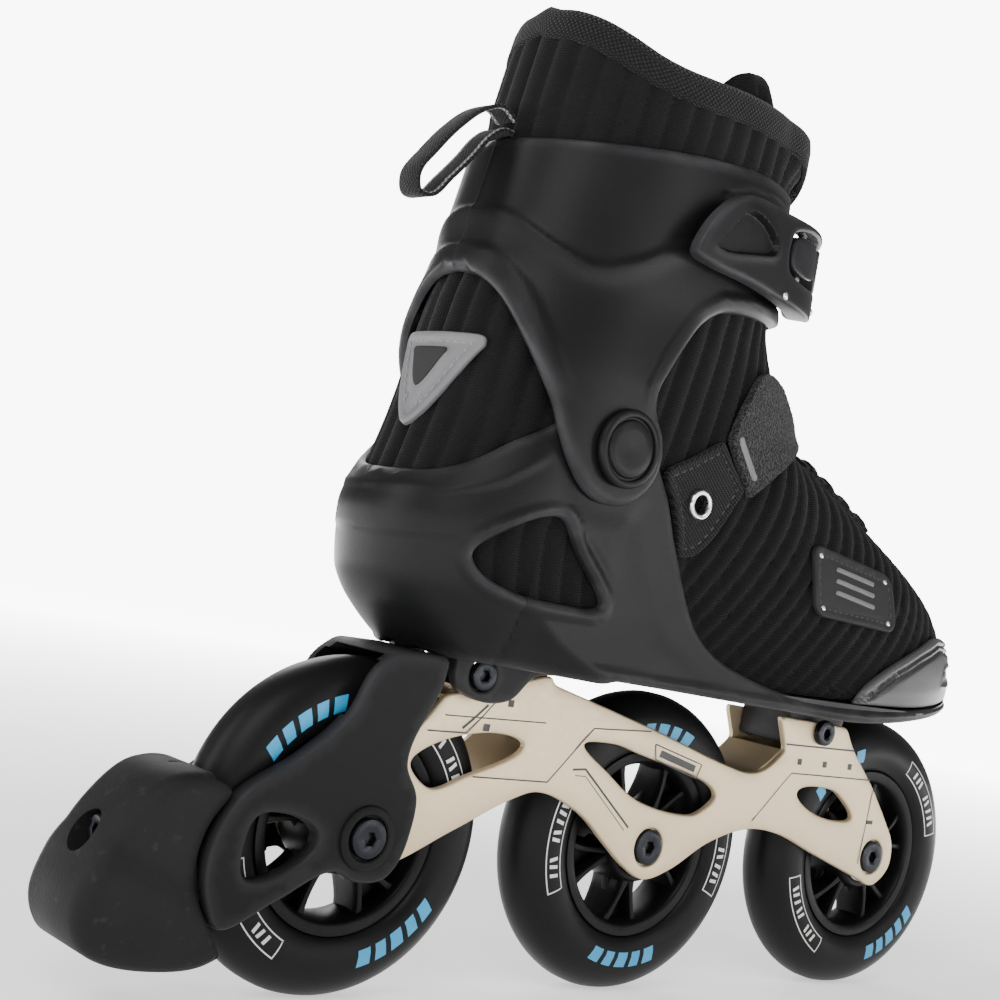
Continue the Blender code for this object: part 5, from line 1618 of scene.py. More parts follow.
def collar_line():
    """The collar's top edge on the flat map, from the throat to the back."""
    line = RING.flat(smooth_line(COLLAR_TOP, 1.0 * MM))
    line = line[line[:, 0] > 0.3 * MM]
    return np.concatenate([line, [on_seam(0.3374, 0)]])


def collar_flare(base):
    """How far the collar's front corners stand out."""
    return 3.5 * MM * smoothstep((base[:, 0] + 0.012) / 0.014) * smoothstep((base[:, 2] - 0.298) / 0.012)


def liner_ribs(flat, base, depth):
    """Padded ribs: upright round the leg, and raked and bowed on the foot."""
    x, z = base[:, 0], base[:, 2]
    drop = np.clip(0.215 - z, 0, None) / 0.095
    foot = (x + 0.060 * drop**1.7) / FOOT_RIB_PITCH
    leg = flat[:, 0] / RIB_PITCH
    share = smoothstep((x + 0.045 - (z - 0.14) * 0.75) / 0.010)
    foot_wave = abs(np.sin(np.pi * foot)) ** 0.6
    leg_wave = abs(np.sin(np.pi * leg)) ** 0.6
    wave = share * foot_wave + (1 - share) * leg_wave
    under_cuff = smoothstep((z - 0.232) / 0.008) * smoothstep((0.300 - z) / 0.004)
    hem = smoothstep((reach_to([collar_line()], flat) - 9.5 * MM) / (2.0 * MM))
    ribs = (0.5 - 0.5 * under_cuff) * hem - 2.0 * (1 - wave) * hem - 0.6 * (1 - hem)
    return MM * ribs + collar_flare(base)


def make_liner():
    """One padded boot from the toe to the collar, open down the instep, with a knitted edge round the top."""
    low_edge = [(-0.14, 0.1185), (0.03, 0.1185), (0.10, 0.1205), (0.160, 0.1275)]
    bottom = RING.flat(smooth_line(low_edge, 1.5 * MM))
    bottom = bottom[bottom[:, 0] > 0.3 * MM]
    toe = [on_seam(z, 1) for z in np.linspace(0.1290, THROAT_LOW, 50)]
    heights = np.linspace(THROAT_LOW + 1.5 * MM, 0.3065, 110)
    halves = THROAT_HALF * np.sqrt(np.clip((heights - THROAT_LOW) / 0.004, 0, 1))
    throat = [RING.flat([(front_x(z, h), z)])[0] for z, h in zip(heights, halves)]
    back = [on_seam(z, 0) for z in np.linspace(0.3355, 0.1200, 140)]
    loop = np.concatenate([[on_seam(0.1185, 0)], bottom, toe, throat, collar_line(), back])
    patch = Patch(RING, [loop], 1.55 * MM, 3.0 * MM, mapped=True)
    built = [patch.build(-LINER_WALL, LINER_WALL, side, liner_ribs) for side in (-1, 1)]
    item = finish_piece("liner", make_mesh("liner", built), liner_cloth(), None,
                        ["liner_foot", "liner_collar"], 75.0)
    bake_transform(item)
    make_collar_binding()


def make_collar_binding():
    """A knitted band folded over the collar's top edge."""
    line = collar_line()
    spots = []
    outs = []
    for side in (-1, 1):
        base = RING.spot(line, side)
        away = list(RING.outward(line, side))
        here = list(base + np.array(away) * collar_flare(base)[:, None])
        spots += here if side < 0 else here[-2::-1]
        outs += away if side < 0 else away[-2::-1]
    section = [(0.5, -11.5), (0.9, -10.5), (0.9, -4.0), (0.5, -1.8), (-0.8, -0.4), (-3.0, 0.2), (-5.2, -0.4),
               (-6.5, -1.8), (-6.9, -4.0), (-6.9, -11.5), (-6.2, -11.5), (-6.0, -4.0), (-3.0, -2.0),
               (-0.6, -4.0),
               (-0.8, -11.5)]
    section = in_mm(section)
    sweep("collar_binding", spots, outs, section, binding_cloth(), "ankle_cuff", sharp=80.0)


def tongue_relief(flat, base, depth):
    """A soft crown with quilted lines across it."""
    z = base[:, 2]
    crown = smoothstep(depth / (14 * MM)) * close_to(abs(base[:, 1]), 6 * MM, 5 * MM)
    row = abs((z / (13 * MM)) % 1 - 0.5) * 13 * MM
    return MM * (1.4 * crown - 0.9 * hump(row, 1.0 * MM) * crown)


def tongue_floor(flat, base):
    """The tongue's back lies under the liner, and its top leans in towards the leg."""
    return -LINER_WALL - 6 * MM - 8 * MM * smoothstep((base[:, 2] - 0.312) / 0.034)


def make_tongue():
    """A padded tongue under the throat, from the instep to above the collar."""
    heights = np.linspace(0.196, 0.333, 90)
    halves = 17.5 * MM + 11.5 * MM * smoothstep((heights - 0.300) / 0.028)
    ends = [(0.3370, 0.0270), (0.3405, 0.0235), (0.3432, 0.0185), (0.3450, 0.0125), (0.3460, 0.0060)]
    side = [RING.flat([(front_x(z, h), z)])[0] for z, h in
            [(0.186, 0.008), (0.190, 0.013), *zip(heights, halves), *ends]]
    seam = [on_seam(z, 1) for z in np.linspace(0.3463, 0.183, 110)]
    loop = np.concatenate([side, seam])
    patch = Patch(RING, [loop], 1.8 * MM, 2.4 * MM, mapped=True)
    built = [patch.build(tongue_floor, 4.8 * MM, side, tongue_relief) for side in (-1, 1)]
    item = finish_piece("tongue", make_mesh("tongue", built), liner_cloth(), None,
                        ["tongue_foot", "tongue_shin"],
                        75.0)
    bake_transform(item)


def make_footbed():
    outline = level_outline(0.127, -LINER_WALL - 0.8 * MM)
    patch = Patch(FloorChart(0.1250), [outline], 3.0 * MM, 2.5 * MM)
    mesh = make_mesh("insole", [patch.build(0.0, 3.5 * MM, 1)])
    item = finish_piece("insole", mesh, liner_cloth(), "boot", ["footbed"])


# ---------------------------------------------------------------- straps and trim

STRAP_TAB = [(-0.0475, 0.1865), (-0.0350, 0.1945), (-0.0210, 0.2025), (-0.0060, 0.1870), (-0.0265, 0.1615),
             (-0.0340, 0.1605), (-0.0375, 0.1700), (-0.0430, 0.1800)]
STRAP_BAND = [(-0.0180, 0.2040), (-0.0030, 0.1850), (0.0130, 0.1965), (0.034, 0.2100), (0.06, 0.2270),
              (0.06, 0.2330), (0.022, 0.2285), (-0.003, 0.2298), (-0.0125, 0.2180)]
STRAP_BAR = ((-0.0130, 0.2045), (-0.0030, 0.1925))
EYELET = (-0.029, 0.179)
BADGE_TOP = 0.2185
BADGE_TIP = 0.1860


def pile_relief(flat, base, depth):
    """Uneven tufts of a loop-pile strap."""
    u, v = flat.T / MM
    tufts = np.sin(2.1 * u + 1.3 * np.sin(1.7 * v)) * np.sin(2.4 * v + 1.1 * np.sin(1.3 * u))
    return 0.22 * MM * tufts


def tab_relief(flat, base, depth):
    """A bound edge and a shallow seam inside it."""
    edge = close_to(depth, 2.2 * MM, MM)
    seam = hump(depth - 3 * MM, 0.6 * MM)
    return MM * (0.35 * edge - 0.3 * seam)


def round_ended(start, end, half):
    """The outline of a straight bar with round ends."""
    start, end = np.array(start), np.array(end)
    along = (end - start) / np.linalg.norm(end - start)
    across = np.array([-along[1], along[0]])
    turn = np.linspace(-math.pi / 2, math.pi / 2, 9)
    far = [end + half * (math.cos(a) * along + math.sin(a) * across) for a in turn]
    near = [start - half * (math.cos(a) * along + math.sin(a) * across) for a in turn]
    return np.array([*far, *near])


def make_instep_strap():
    """A broad strap over the instep, pinned by an eyelet to a tab at each side of the shell."""
    skin("instep_strap_body", [smooth_loop(STRAP_BAND, (0, 1, 4, 5), 1.0 * MM, 1)], 1.0 * MM, 2.6 * MM,
         loop_cloth(),
         "boot", ["instep_strap"], grid=1.1 * MM, edge=0.9 * MM, relief=pile_relief, sharp=80.0)
    skin("strap_bar", [round_ended(*STRAP_BAR, 1.4 * MM)], 3.4 * MM, 0.8 * MM, badge_rubber(), "boot",
         sides=(-1,), grid=1.2 * MM, edge=0.5 * MM)
    x, half, _ = boot_half(EYELET[1], 200)
    near = float(np.interp(EYELET[0], x, half))
    hole = np.array(circle(EYELET[0], EYELET[1], 3.5 * MM, 32))
    ring = [(-1.6, 3.4), (0.6, 3.4), (1.0, 3.6), (1.25, 4.2), (1.15, 4.8), (0.7, 5.2), (0.0, 5.3),
            (-0.3, 5.2),
            (-0.3, 3.9), (-1.6, 3.9)]
    for side, name in SIDES:
        outline = smooth_loop(STRAP_TAB, (2, 3), 1.0 * MM, 2)
        skin(f"{name}_tab_body", [outline, hole], 0.8 * MM, 1.9 * MM, webbing_cloth(), "boot",
             [f"{name}_strap_tab"], sides=(side,), grid=1.3 * MM, edge=0.7 * MM, relief=tab_relief)
        stitches(f"{name}_tab_stitches", RING, RING.flat(inset_loop(outline, 3.0 * MM)), 2.5 * MM,
                 black_thread(),
                 "boot", side)
        spot = (EYELET[0], side * (near + 3.5 * MM), EYELET[1])
        profile = in_mm(ring, side)
        turned(f"{name}_eyelet_ring", profile, bright(), spot, "boot", [f"{name}_eyelet"], 48, closed=False)


def badge_half(side):
    """Half of the rounded, downward triangle of the rear badge, on the flat map."""
    reach = 21.5 * MM if side < 0 else 17.5 * MM
    slope = [(reach - 3.0 * MM, BADGE_TOP), (reach - 0.7 * MM, BADGE_TOP - 0.7 * MM),
             (reach, BADGE_TOP - 3.0 * MM),
             (reach * 0.92, BADGE_TOP - 6.0 * MM), (reach * 0.16, BADGE_TIP + 1.6 * MM), (0.0, BADGE_TIP)]
    line = smooth_line(slope, 0.8 * MM)
    top = [(u, BADGE_TOP) for u in np.linspace(0, reach - 3.2 * MM, 16)]
    seam = [(0.0, z) for z in np.linspace(BADGE_TIP + 0.8 * MM, BADGE_TOP - 0.8 * MM, 34)]
    return np.concatenate([top, line, seam])


def badge_relief(flat, base, depth):
    border = close_to(depth, 2.4 * MM, 0.8 * MM)
    return 0.6 * MM * border + 0.5 * MM * smoothstep((depth - 5 * MM) / (3 * MM))


def make_badge():
    """A stitched rubber badge at the back of the ankle, with a plain darker mark on it."""
    built = []
    marks = []
    for side in (-1, 1):
        loop = badge_half(side)
        patch = Patch(RING, [loop], 1.1 * MM, 0.9 * MM, mapped=True)
        built.append(patch.build(0.3 * MM, 1.3 * MM, side, badge_relief))
        middle = np.array([0.0, 0.2090])
        inner = Patch(RING, [middle + (loop - middle) * 0.42], 1.0 * MM, 0.4 * MM, mapped=True)
        marks.append(inner.build(1.9 * MM, 0.7 * MM, side))
        line = np.array([p for p in inset_points(loop, 3.4 * MM, [loop], 1 if area_of(loop) > 0 else -1)
                         if p[0] > 0.5 * MM])
        name = "outer" if side < 0 else "inner"
        stitches(f"badge_{name}_stitches", RING, line, 1.75 * MM, thread(), "ankle_cuff", side, 1.8 * MM)
    finish_piece("badge_body", make_mesh("badge_body", built), badge_rubber(), "ankle_cuff", ["rear_badge"])
    finish_piece("badge_mark", make_mesh("badge_mark", marks), patch_rubber(), "ankle_cuff")


SIDE_PATCH = [(0.034, 0.1745), (0.0845, 0.1675), (0.0855, 0.1465), (0.037, 0.1485)]


def patch_relief(flat, base, depth):
    border = close_to(depth, 2.0 * MM, 0.7 * MM)
    channel = hump(depth - 3.1 * MM, 0.5 * MM)
    return MM * (0.45 * border - 0.3 * channel)


def make_side_patch():
    """A riveted rubber patch on the outer side of the foot, with three plain raised bars."""
    a, b, c, d = (np.array(p) for p in SIDE_PATCH)
    points = []
    for corner, before, after in ((a, d, b), (b, a, c), (c, b, d), (d, c, a)):
        for other in (before, after):
            points.append(corner + (other - corner) / np.linalg.norm(other - corner) * 3 * MM)
    outline = smooth_loop(points, range(8), 0.9 * MM, 4)
    skin("patch_body", [outline], 0.5 * MM, 1.4 * MM, patch_rubber(), "boot", ["side_patch"], sides=(-1,),
         grid=1.3 * MM, edge=0.8 * MM, relief=patch_relief)
    stitches("patch_stitches", RING, RING.flat(inset_loop(outline, 3.1 * MM)), 1.75 * MM, black_thread(),
             "boot", -1,
             1.9 * MM, 1.2 * MM)
    for k, corner in enumerate((a, b, c, d)):
        middle = (a + b + c + d) / 4
        place = corner + (middle - corner) * np.array([0.19, 0.27])
        flat = RING.flat([place])
        spot, out = RING.spot(flat, -1)[0], RING.outward(flat, -1)[0]
        button(f"patch_rivet_{k + 1}", spot + out * 1.7 * MM, out, dome(1.15 * MM, 0.6 * MM), bright(),
               "boot")
    for k in range(3):
        left = a * 0.72 + b * 0.28 - (0, (5.2 + 4.2 * k) * MM)
        right = a * 0.26 + b * 0.74 - (0, (5.2 + 4.2 * k) * MM)
        low = np.array([-0.8 * MM, -1.7 * MM])
        bar = smooth_loop([left, right, right + low, left + low], (0, 1, 2, 3), 0.8 * MM, 1)
        skin(f"patch_bar_{k + 1}", [bar], 1.7 * MM, 0.5 * MM, badge_rubber(), "boot", sides=(-1,),
             grid=1.5 * MM,
             edge=0.3 * MM)


def instep_spot(x, across):
    """Side-view place on top of the foot at a distance across from the middle."""
    drop = (1 - (across / float(FOOT_WIDTH(x))) ** 2) ** (1 / 3.2)
    return x, BOOT_BOTTOM + (float(INSTEP(x)) - BOOT_BOTTOM) * drop


def make_eyestays():
    """A webbing strip with four lace loops along each edge of the instep opening."""
    for side, name in SIDES:
        near = [instep_spot(x, 12.0 * MM) for x in np.linspace(0.046, 0.093, 30)]
        far = [instep_spot(x, 19.5 * MM) for x in np.linspace(0.093, 0.046, 30)]
        patch = Patch(RING, [np.array([*near, *far])], 1.6 * MM, 0.6 * MM)
        mesh = make_mesh("strip", [patch.build(0.8 * MM, 1.6 * MM, side)])
        finish_piece(f"{name}_eyestay_strip", mesh, webbing_cloth(), "boot", [f"{name}_eyestay"])
        for k, x in enumerate((0.052, 0.064, 0.076, 0.088)):
            spots = []
            outs = []
            for t in np.linspace(0, 1, 13):
                flat = RING.flat([instep_spot(x, (12.6 + 7.0 * t) * MM)])
                out = RING.outward(flat, side)[0]
                spots.append(RING.spot(flat, side)[0] + out * (1.7 + 1.0 * math.sin(math.pi * t)) * MM)
                outs.append(out)
            band = [(0, -2.2), (0.7, -2.2), (0.9, -1.9), (0.9, 1.9), (0.7, 2.2), (0, 2.2)]
            sweep(f"{name}_lace_loop_{k + 1}", spots, outs, in_mm(band), webbing_cloth(),
                  "boot", sharp=60.0)


def make_pull_loop():
    """A webbing loop behind the collar, doubled back on itself, with a paler woven edge."""
    path = [(-0.1092, 0.2935), (-0.1150, 0.2965), (-0.1225, 0.2935), (-0.1310, 0.2855), (-0.1385, 0.2755),
            (-0.1440, 0.2660), (-0.1425, 0.2605), (-0.1375, 0.2605), (-0.1310, 0.2680), (-0.1240, 0.2770),
            (-0.1185, 0.2850), (-0.1135, 0.2890), (-0.1092, 0.2890)]
    line = smooth_line(path, 1.0 * MM)
    spots = [(x, 0, z) for x, z in line]
    outs = [(0, 1, 0)] * len(spots)
    ups = []
    for i in range(len(line)):
        along = line[min(i + 1, len(line) - 1)] - line[max(i - 1, 0)]
        ups.append((-along[1], 0, along[0]))
    band = [(-5.5, -0.35), (-5.1, -0.65), (5.1, -0.65), (5.5, -0.35), (5.5, 0.35), (5.1, 0.65), (-5.1, 0.65),
            (-5.5, 0.35)]
    sweep("pull_loop_band", spots, outs, in_mm(band), webbing_cloth(), "ankle_cuff",
          ["pull_loop"], ups=ups, sharp=60.0)
    for side, name in SIDES:
        edge = in_mm(((3.6, 0.60), (5.0, 0.60), (5.0, 0.82), (3.6, 0.82)), side)
        sweep(f"pull_loop_{name}_weave", spots, outs, edge, pale_webbing(), "ankle_cuff", ups=ups)


# ---------------------------------------------------------------- buckle

BASE_LAYER = 4.8 * MM
LADDER_LAYER = 6.7 * MM
LEVER_LAYER = 9.2 * MM
LEVER_PIN = -18.5 * MM
PAWL_PIN = -40 * MM
LEVER_OUTLINE = [
    (-96.8, 258.5), (-94.8, 267.5), (-87.0, 278.5), (-80.0, 283.2), (-72.0, 284.2), (-62.0, 283.8), (-40.0,
                                                                                                     283.6),
    (-14.5, 284.2), (-14.5, 280.2), (-52.3, 278.5), (-53.5, 277.3), (-53.5, 265.5), (-52.3, 264.2), (-14.5,
                                                                                                     264.2),
    (-14.2, 260.5), (-17.0, 256.5), (-24.0, 253.8), (-31.0, 252.4), (-42.0, 252.4), (-55.0, 253.6), (-72.0,
                                                                                                     255.2),
    (-90.0, 256.6),
]
LEVER_CORNERS = (7, 8, 13)
LEVER_DISH = [(-90.0, 263.5), (-84.0, 271.5), (-77.5, 278.0), (-70.5, 277.0), (-64.5, 273.8), (-61.8, 270.5),
              (-63.0, 267.8), (-68.5, 266.0), (-76.0, 264.3), (-83.5, 262.8)]


def dish_loop():
    return smooth_loop(np.array(LEVER_DISH) * MM, (), 0.8 * MM, 2)


def buckle_bulge(flat):
    """How far the lever and the parts in its slot stand out at the front."""
    return 3.0 * MM * smoothstep((flat[:, 0] + 62 * MM) / (26 * MM))


class BeltChart(OpenChart):
    """The upright band the buckle lies on. Its flat map is the distance round the shin from its
    front, negative on the outer side, and the height."""

    def __init__(self):
        x, half, _ = boot_half(BUCKLE_Z, 400)
        outer = np.stack([x, centre_line(x) - half], -1)
        inner = np.stack([x, centre_line(x) + half], -1)
        self.ring = np.concatenate([outer, inner[-2::-1]])
        self.run = np.concatenate([[0], np.cumsum(np.hypot(*np.diff(self.ring, axis=0).T))])
        self.run -= self.run[len(outer) - 1]

    def at(self, distance):
        return np.stack([np.interp(distance, self.run, self.ring[:, k]) for k in (0, 1)], -1)

    def spot(self, flat, side):
        return np.concatenate([self.at(flat[:, 0]), flat[:, 1:]], 1)

    def outward(self, flat, side):
        along = self.at(flat[:, 0] + 2 * MM) - self.at(flat[:, 0] - 2 * MM)
        along /= np.linalg.norm(along, axis=1)[:, None]
        return np.stack([along[:, 1], -along[:, 0], np.zeros(len(flat))], -1)


BELT = BeltChart()


def belt_place(distance, z, offset):
    flat = np.array([[distance, z]])
    out = BELT.outward(flat, 1)[0]
    return BELT.spot(flat, 1)[0] + out * offset, out


def belt_block(name, low, high, layer, thick, material, body, replaces=(), edge=0.8 * MM, relief=None,
               corner=1.2 * MM):
    """A block with rounded corners lying on the belt between two (distance, height) corners."""
    (a, b), (c, d) = low, high
    r = corner
    points = [(a + r, b), (c - r, b), (c, b + r), (c, d - r), (c - r, d), (a + r, d), (a, d - r), (a, b + r)]
    skin(name, [smooth_loop(points, (), 0.8 * MM, 1)], layer, thick, material, body, replaces, sides=(1,),
         grid=1.3 * MM, edge=edge, relief=relief, chart=BELT, sharp=45.0)


def lever_relief(flat, base, depth):
    """A dished panel in the lever's tail, with a raised rail round it."""
    dish = dish_loop()
    within = np.where(inside([dish], flat), 1, -1) * reach_to([np.concatenate([dish, dish[:1]])], flat)
    sunk = 2.2 * smoothstep(within / (1.2 * MM) + 0.5)
    rail = 0.5 * hump(within, 2.2 * MM) * (within < 0)
    return MM * (rail - sunk) + buckle_bulge(flat)


def housing_relief(flat, base, depth):
    """Fine grip teeth at the front end of the housing."""
    front = smoothstep((flat[:, 0] + 18.5 * MM) / MM)
    tooth = abs(((flat[:, 1] - 0.264) / (2.2 * MM)) % 1 - 0.5) * 2
    return buckle_bulge(flat) - 0.8 * MM * front * tooth


def make_lever():
    """The forked lever, slotted for the pawl and dished at its tail."""
    outline = smooth_loop(np.array(LEVER_OUTLINE) * MM, LEVER_CORNERS, 0.9 * MM, 2)
    rings = [inset_loop(dish_loop(), distance * MM) for distance in (-0.9, -0.45, 0.0, 0.45, 0.9)]
    skin("lever_body", [outline], LEVER_LAYER, 4.8 * MM, shell_plastic(), "closure_lever", ["buckle_lever"],
         sides=(1,), grid=0.9 * MM, edge=1.3 * MM, relief=lever_relief, extra=rings, chart=BELT, sharp=45.0)


def make_ratchet():
    """The buckle's base plate, the ratchet housing on it and the pawl in the lever's slot."""
    belt_block("buckle_plate", (-0.062, 0.2625), (-0.021, 0.2825), BASE_LAYER, 1.6 * MM, dark_steel(),
               "ankle_cuff",
               ["buckle_base"], 0.5 * MM)
    belt_block("housing_body", (-0.0355, 0.2652), (-0.0125, 0.2775), LEVER_LAYER, 4.6 * MM, shell_plastic(),
               "ankle_cuff", ["ratchet_housing"], 0.7 * MM, housing_relief)
    belt_block("pawl_body", (-0.0518, 0.2657), (-0.0362, 0.2772), LEVER_LAYER - 0.3 * MM, 4.7 * MM,
               pawl_metal(),
               "ratchet_pawl", ["pawl"], 0.8 * MM, lambda flat, base, depth: buckle_bulge(flat))


def make_buckle_pins():
    """The lever's pin, the pawl's pin and the spring round it."""
    low, high = 0.2556, 0.2835
    for name, distance, offset, body in (("lever_pin", LEVER_PIN, 11.4 * MM, "ankle_cuff"),
                                         ("pawl_pin", PAWL_PIN, 11.2 * MM, "closure_lever")):
        spot, _ = belt_place(distance, low, offset)
        profile = [(0.1 * MM, 0), (1.9 * MM, 0.3 * MM), (2.2 * MM, 0.9 * MM), (2.2 * MM, 1.3 * MM),
                   (1.5 * MM, 1.4 * MM), (1.5 * MM, high - low - 1.0 * MM),
                   (1.1 * MM, high - low - 0.3 * MM),
                   (0.1 * MM, high - low)]
        button(f"{name}_body", spot, (0, 0, 1), profile, bright(), body, [name], 28)
    spot, _ = belt_place(PAWL_PIN, 0.2642, 11.2 * MM)
    coil = [spot + np.array([1.9 * MM * math.cos(a), 1.9 * MM * math.sin(a), 4.2 * MM * a / (6 * math.pi)])
            for a in np.linspace(0, 6 * math.pi, 72)]
    tube("spring_wire", coil, 0.28 * MM, bright(), "closure_lever", ["pawl_spring"], 8)


def make_buckle_rivets():
    """Two rivet heads on the lever's lower rail, and the one that holds the base plate."""
    for k, (distance, z) in enumerate(((-0.0535, 0.2557), (-0.0285, 0.2566))):
        rise = float(buckle_bulge(np.array([[distance, z]]))[0])
        spot, out = belt_place(distance, z, LEVER_LAYER + 4.6 * MM + rise)
        button(f"lever_rivet_{k + 1}", spot, out, dome(1.5 * MM, 0.9 * MM), bright(), "closure_lever")
    spot, out = belt_place(-0.059, BUCKLE_Z, BASE_LAYER + 1.9 * MM)
    button("base_rivet", spot, out, [(2.4 * MM, 0.0), *dome(2.4 * MM, 0.7 * MM, 0.2 * MM)], bright(),
           "ankle_cuff",
           ["buckle_rivet"])


def make_ladder_strap():
    """The toothed strap, screwed to the cuff's inner side and threaded under the ratchet."""
    distances = np.arange(-0.056, 0.0781, 0.0004)
    flats = np.stack([distances, np.full(len(distances), 0.2730)], -1)
    spots = BELT.spot(flats, 1)
    outs = BELT.outward(flats, 1)

    def section(i):
        tooth = 0.9 * (1 - (distances[i] / (3.2 * MM)) % 1) * float(distances[i] < 0.034)
        height = (1.0 + (tooth if tooth else 0.6)) * MM
        edge = 1.1 * MM
        return [(0.0, -6.5 * MM), (edge, -6.5 * MM), (1.5 * MM, -6.1 * MM), (1.5 * MM, -4.6 * MM),
                (height, -4.4 * MM),
                (height, 4.4 * MM), (1.5 * MM, 4.6 * MM), (1.5 * MM, 6.1 * MM), (edge, 6.5 * MM),
                (0.0, 6.5 * MM)]

    sweep("ladder_body", spots + outs * LADDER_LAYER, outs, section, shell_plastic(), "ankle_cuff",
          ["ladder_strap"],
          ups=[(0, 0, 1)] * len(spots), sharp=30.0)
    spot, out = belt_place(0.072, BUCKLE_Z, LADDER_LAYER + 2.0 * MM)
    profile = [(3.9 * MM, 0.0), (4.2 * MM, 0.3 * MM), (4.2 * MM, 1.0 * MM), (3.7 * MM, 1.5 * MM),
               (2.4 * MM, 1.8 * MM),
               (2.0 * MM, 1.7 * MM), (2.0 * MM, 0.9 * MM), (0.1 * MM, 0.9 * MM)]
    button("ladder_screw_head", spot, out, profile, dark_steel(), "ankle_cuff", ["ladder_screw"])


# ---------------------------------------------------------------- marks printed on the frame

def frame_stripe(mesh_data, line, width):
    """A printed line of a set width on the frame's outer wall."""
    line = np.array(line, float) * MM
    fine = []
    for a, b in zip(line, line[1:]):
        count = max(1, int(np.linalg.norm(b - a) / (3 * MM)))
        fine += [a + (b - a) * k / count for k in range(count)]
    fine = np.array([*fine, line[-1]])
    along = np.gradient(fine, axis=0)
    along /= np.linalg.norm(along, axis=1)[:, None]
    across = np.stack([-along[:, 1], along[:, 0]], -1) * width / 2
    rows = []
    for flat in (fine - across, fine + across):
        lift = WALL_OUTSIDE + frame_swell(flat, None, np.full(len(flat), 6 * MM)) + 0.05 * MM
        rows.append([mesh_data.verts.new((x, -y, z)) for (x, z), y in zip(flat, lift)])
    for i in range(len(fine) - 1):
        mesh_data.faces.new((rows[0][i], rows[0][i + 1], rows[1][i + 1], rows[1][i]))


def make_frame_marks():
    """Thin technical lines, dots and slots printed on the outer wall of the frame."""
    mesh_data = bmesh.new()
    stripes = [
        ([(65, 97.5), (106.7, 97.6)], 0.7), ([(52.5, 67.0), (70.7, 86.5), (119.3, 86.4)], 0.5),
        ([(122.5, 82.5), (120.5, 52.0)], 0.5), ([(121.3, 69.2), (125.7, 69.2)], 1.6),
        ([(-9, 97.0), (-37.3, 96.0), (-54.8, 76.0), (-88.0, 76.0)], 0.5), ([(-104, 95.5), (-60, 96.2)],
                                                                           0.45),
        ([(-44.0, 81.0), (-38.0, 81.5), (-12.5, 61.8)],
         0.8), ([(-42.5, 79.0), (-37.5, 79.0), (-14.5, 60.8)], 0.35),
        ([(-6, 92.6), (20, 86.6), (18, 81.4), (-4.5, 87.0), (-6, 92.6)],
         0.5), ([(-2.5, 89.4), (16.5, 84.8)], 2.6),
        ([(-110, 90.0), (-93.8, 90.2), (-83.5, 101.5)], 0.5), ([(-95.8, 91.7), (-86.5, 100.2)], 0.9),
    ]
    for line, width in stripes:
        frame_stripe(mesh_data, line, width * MM)
    for x, z in ((74.3, 91.2), (89.6, 91.0), (105.3, 91.0), (-76.9, 101.5), (-85.7, 92.6)):
        frame_stripe(mesh_data, [(x - 1.3, z), (x + 1.3, z)], 2.4 * MM)
    new_piece("frame_marks", mesh_data, print_black(), "boot")


# ---------------------------------------------------------------- stage

CAMERA_PLACE = Vector((-0.45701, -0.46267, 0.14583))
CAMERA_AHEAD = Vector((0.64010, 0.76724, 0.04024))
CAMERA_UP = Vector((-0.15790, 0.08011, 0.98420))


def make_camera():
    data = bpy.data.cameras.new("camera")
    data.lens = 62.56
    data.sensor_width = 36
    data.shift_x = -0.0296
    data.shift_y = 0.0017
    camera = bpy.data.objects.new("camera", data)
    bpy.context.scene.collection.objects.link(camera)
    ahead = CAMERA_AHEAD.normalized()
    right = ahead.cross(CAMERA_UP).normalized()
    up = right.cross(ahead)
    camera.matrix_world = Matrix.Translation(CAMERA_PLACE) @ Matrix((right, up,
                                                                     -ahead)).transposed().to_4x4()
    bpy.context.scene.camera = camera


def add_area(name, place, aim, size, power, colour=(1, 1, 1)):
    data = bpy.data.lights.new(name, "AREA")
    data.shape = "RECTANGLE"
    data.size, data.size_y = size
    data.energy = power
    data.color = colour
    light = bpy.data.objects.new(name, data)
    bpy.context.scene.collection.objects.link(light)
    light.location = place
    light.rotation_euler = (Vector(aim) - Vector(place)).to_track_quat("-Z", "Y").to_euler()


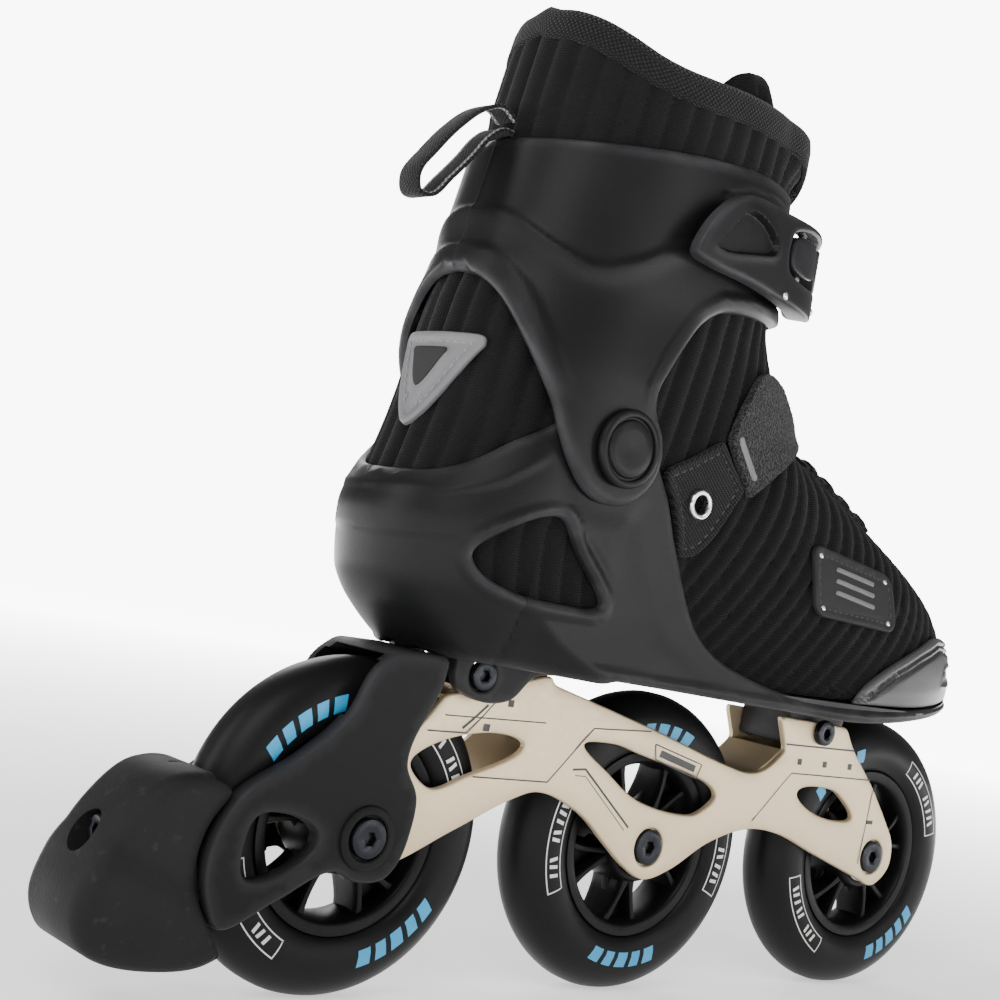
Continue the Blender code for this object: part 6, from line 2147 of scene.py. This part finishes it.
def make_stage():
    """A pale floor that fades into a pale surround, with a large key, a strip and two rim lights."""
    m = Look("pale_floor", (0.86, 0.86, 0.86), 0.7)
    m.rough(m.noise(3.0, 3.0), 0.62, 0.78)
    away = m.node("ShaderNodeVectorMath", {0: m.place()}, operation="LENGTH").outputs["Value"]
    m.set("Emission Color", (1, 1, 1, 1))
    m.wire("Emission Strength", m.math("POWER", m.ramp(away, 0.9, 2.95, 0.25, 1.6), 2.0))
    mesh_data = bmesh.new()
    corners = [(-6, -6, 0), (6, -6, 0), (6, 6, 0), (-6, 6, 0)]
    mesh_data.faces.new([mesh_data.verts.new(c) for c in corners])
    mesh = bpy.data.meshes.new("floor")
    mesh_data.to_mesh(mesh)
    mesh_data.free()
    mesh.materials.append(m.material)
    floor = plain_object("floor", mesh)
    world = bpy.data.worlds.new("surround")
    world.use_nodes = True
    tree = world.node_tree
    seen = tree.nodes["Background"]
    seen.inputs["Color"].default_value = (1.0, 1.0, 1.0, 1)
    seen.inputs["Strength"].default_value = 9.0
    soft = tree.nodes.new("ShaderNodeBackground")
    soft.inputs["Strength"].default_value = 0.38
    pick = tree.nodes.new("ShaderNodeMixShader")
    path = tree.nodes.new("ShaderNodeLightPath")
    tree.links.new(path.outputs["Is Camera Ray"], pick.inputs[0])
    tree.links.new(soft.outputs[0], pick.inputs[1])
    tree.links.new(seen.outputs[0], pick.inputs[2])
    tree.links.new(pick.outputs[0], tree.nodes["World Output"].inputs["Surface"])
    bpy.context.scene.world = world
    aim = (-0.03, 0, 0.17)
    add_area("key", (-1.3, -1.0, 1.5), aim, (1.2, 1.2), 26)
    add_area("side_strip", (0.9, -1.5, 0.7), aim, (0.3, 1.4), 10)
    add_area("heel_rim", (-1.7, 0.6, 0.9), aim, (0.4, 1.4), 16)
    add_area("far_rim", (0.6, 1.5, 1.1), aim, (0.8, 1.2), 14)


def main():
    make_camera()
    make_stage()
    make_wheels()
    make_frame()
    make_brake_bracket()
    make_brake_pad()
    make_brake_bolt()
    make_shell()
    make_mount_bolts()
    make_toe_guard()
    make_cuff()
    make_ankle_pivots()
    make_liner()
    make_tongue()
    make_footbed()
    make_instep_strap()
    make_badge()
    make_side_patch()
    make_eyestays()
    make_pull_loop()
    make_lever()
    make_ratchet()
    make_buckle_pins()
    make_buckle_rivets()
    make_ladder_strap()
    make_frame_marks()


main()
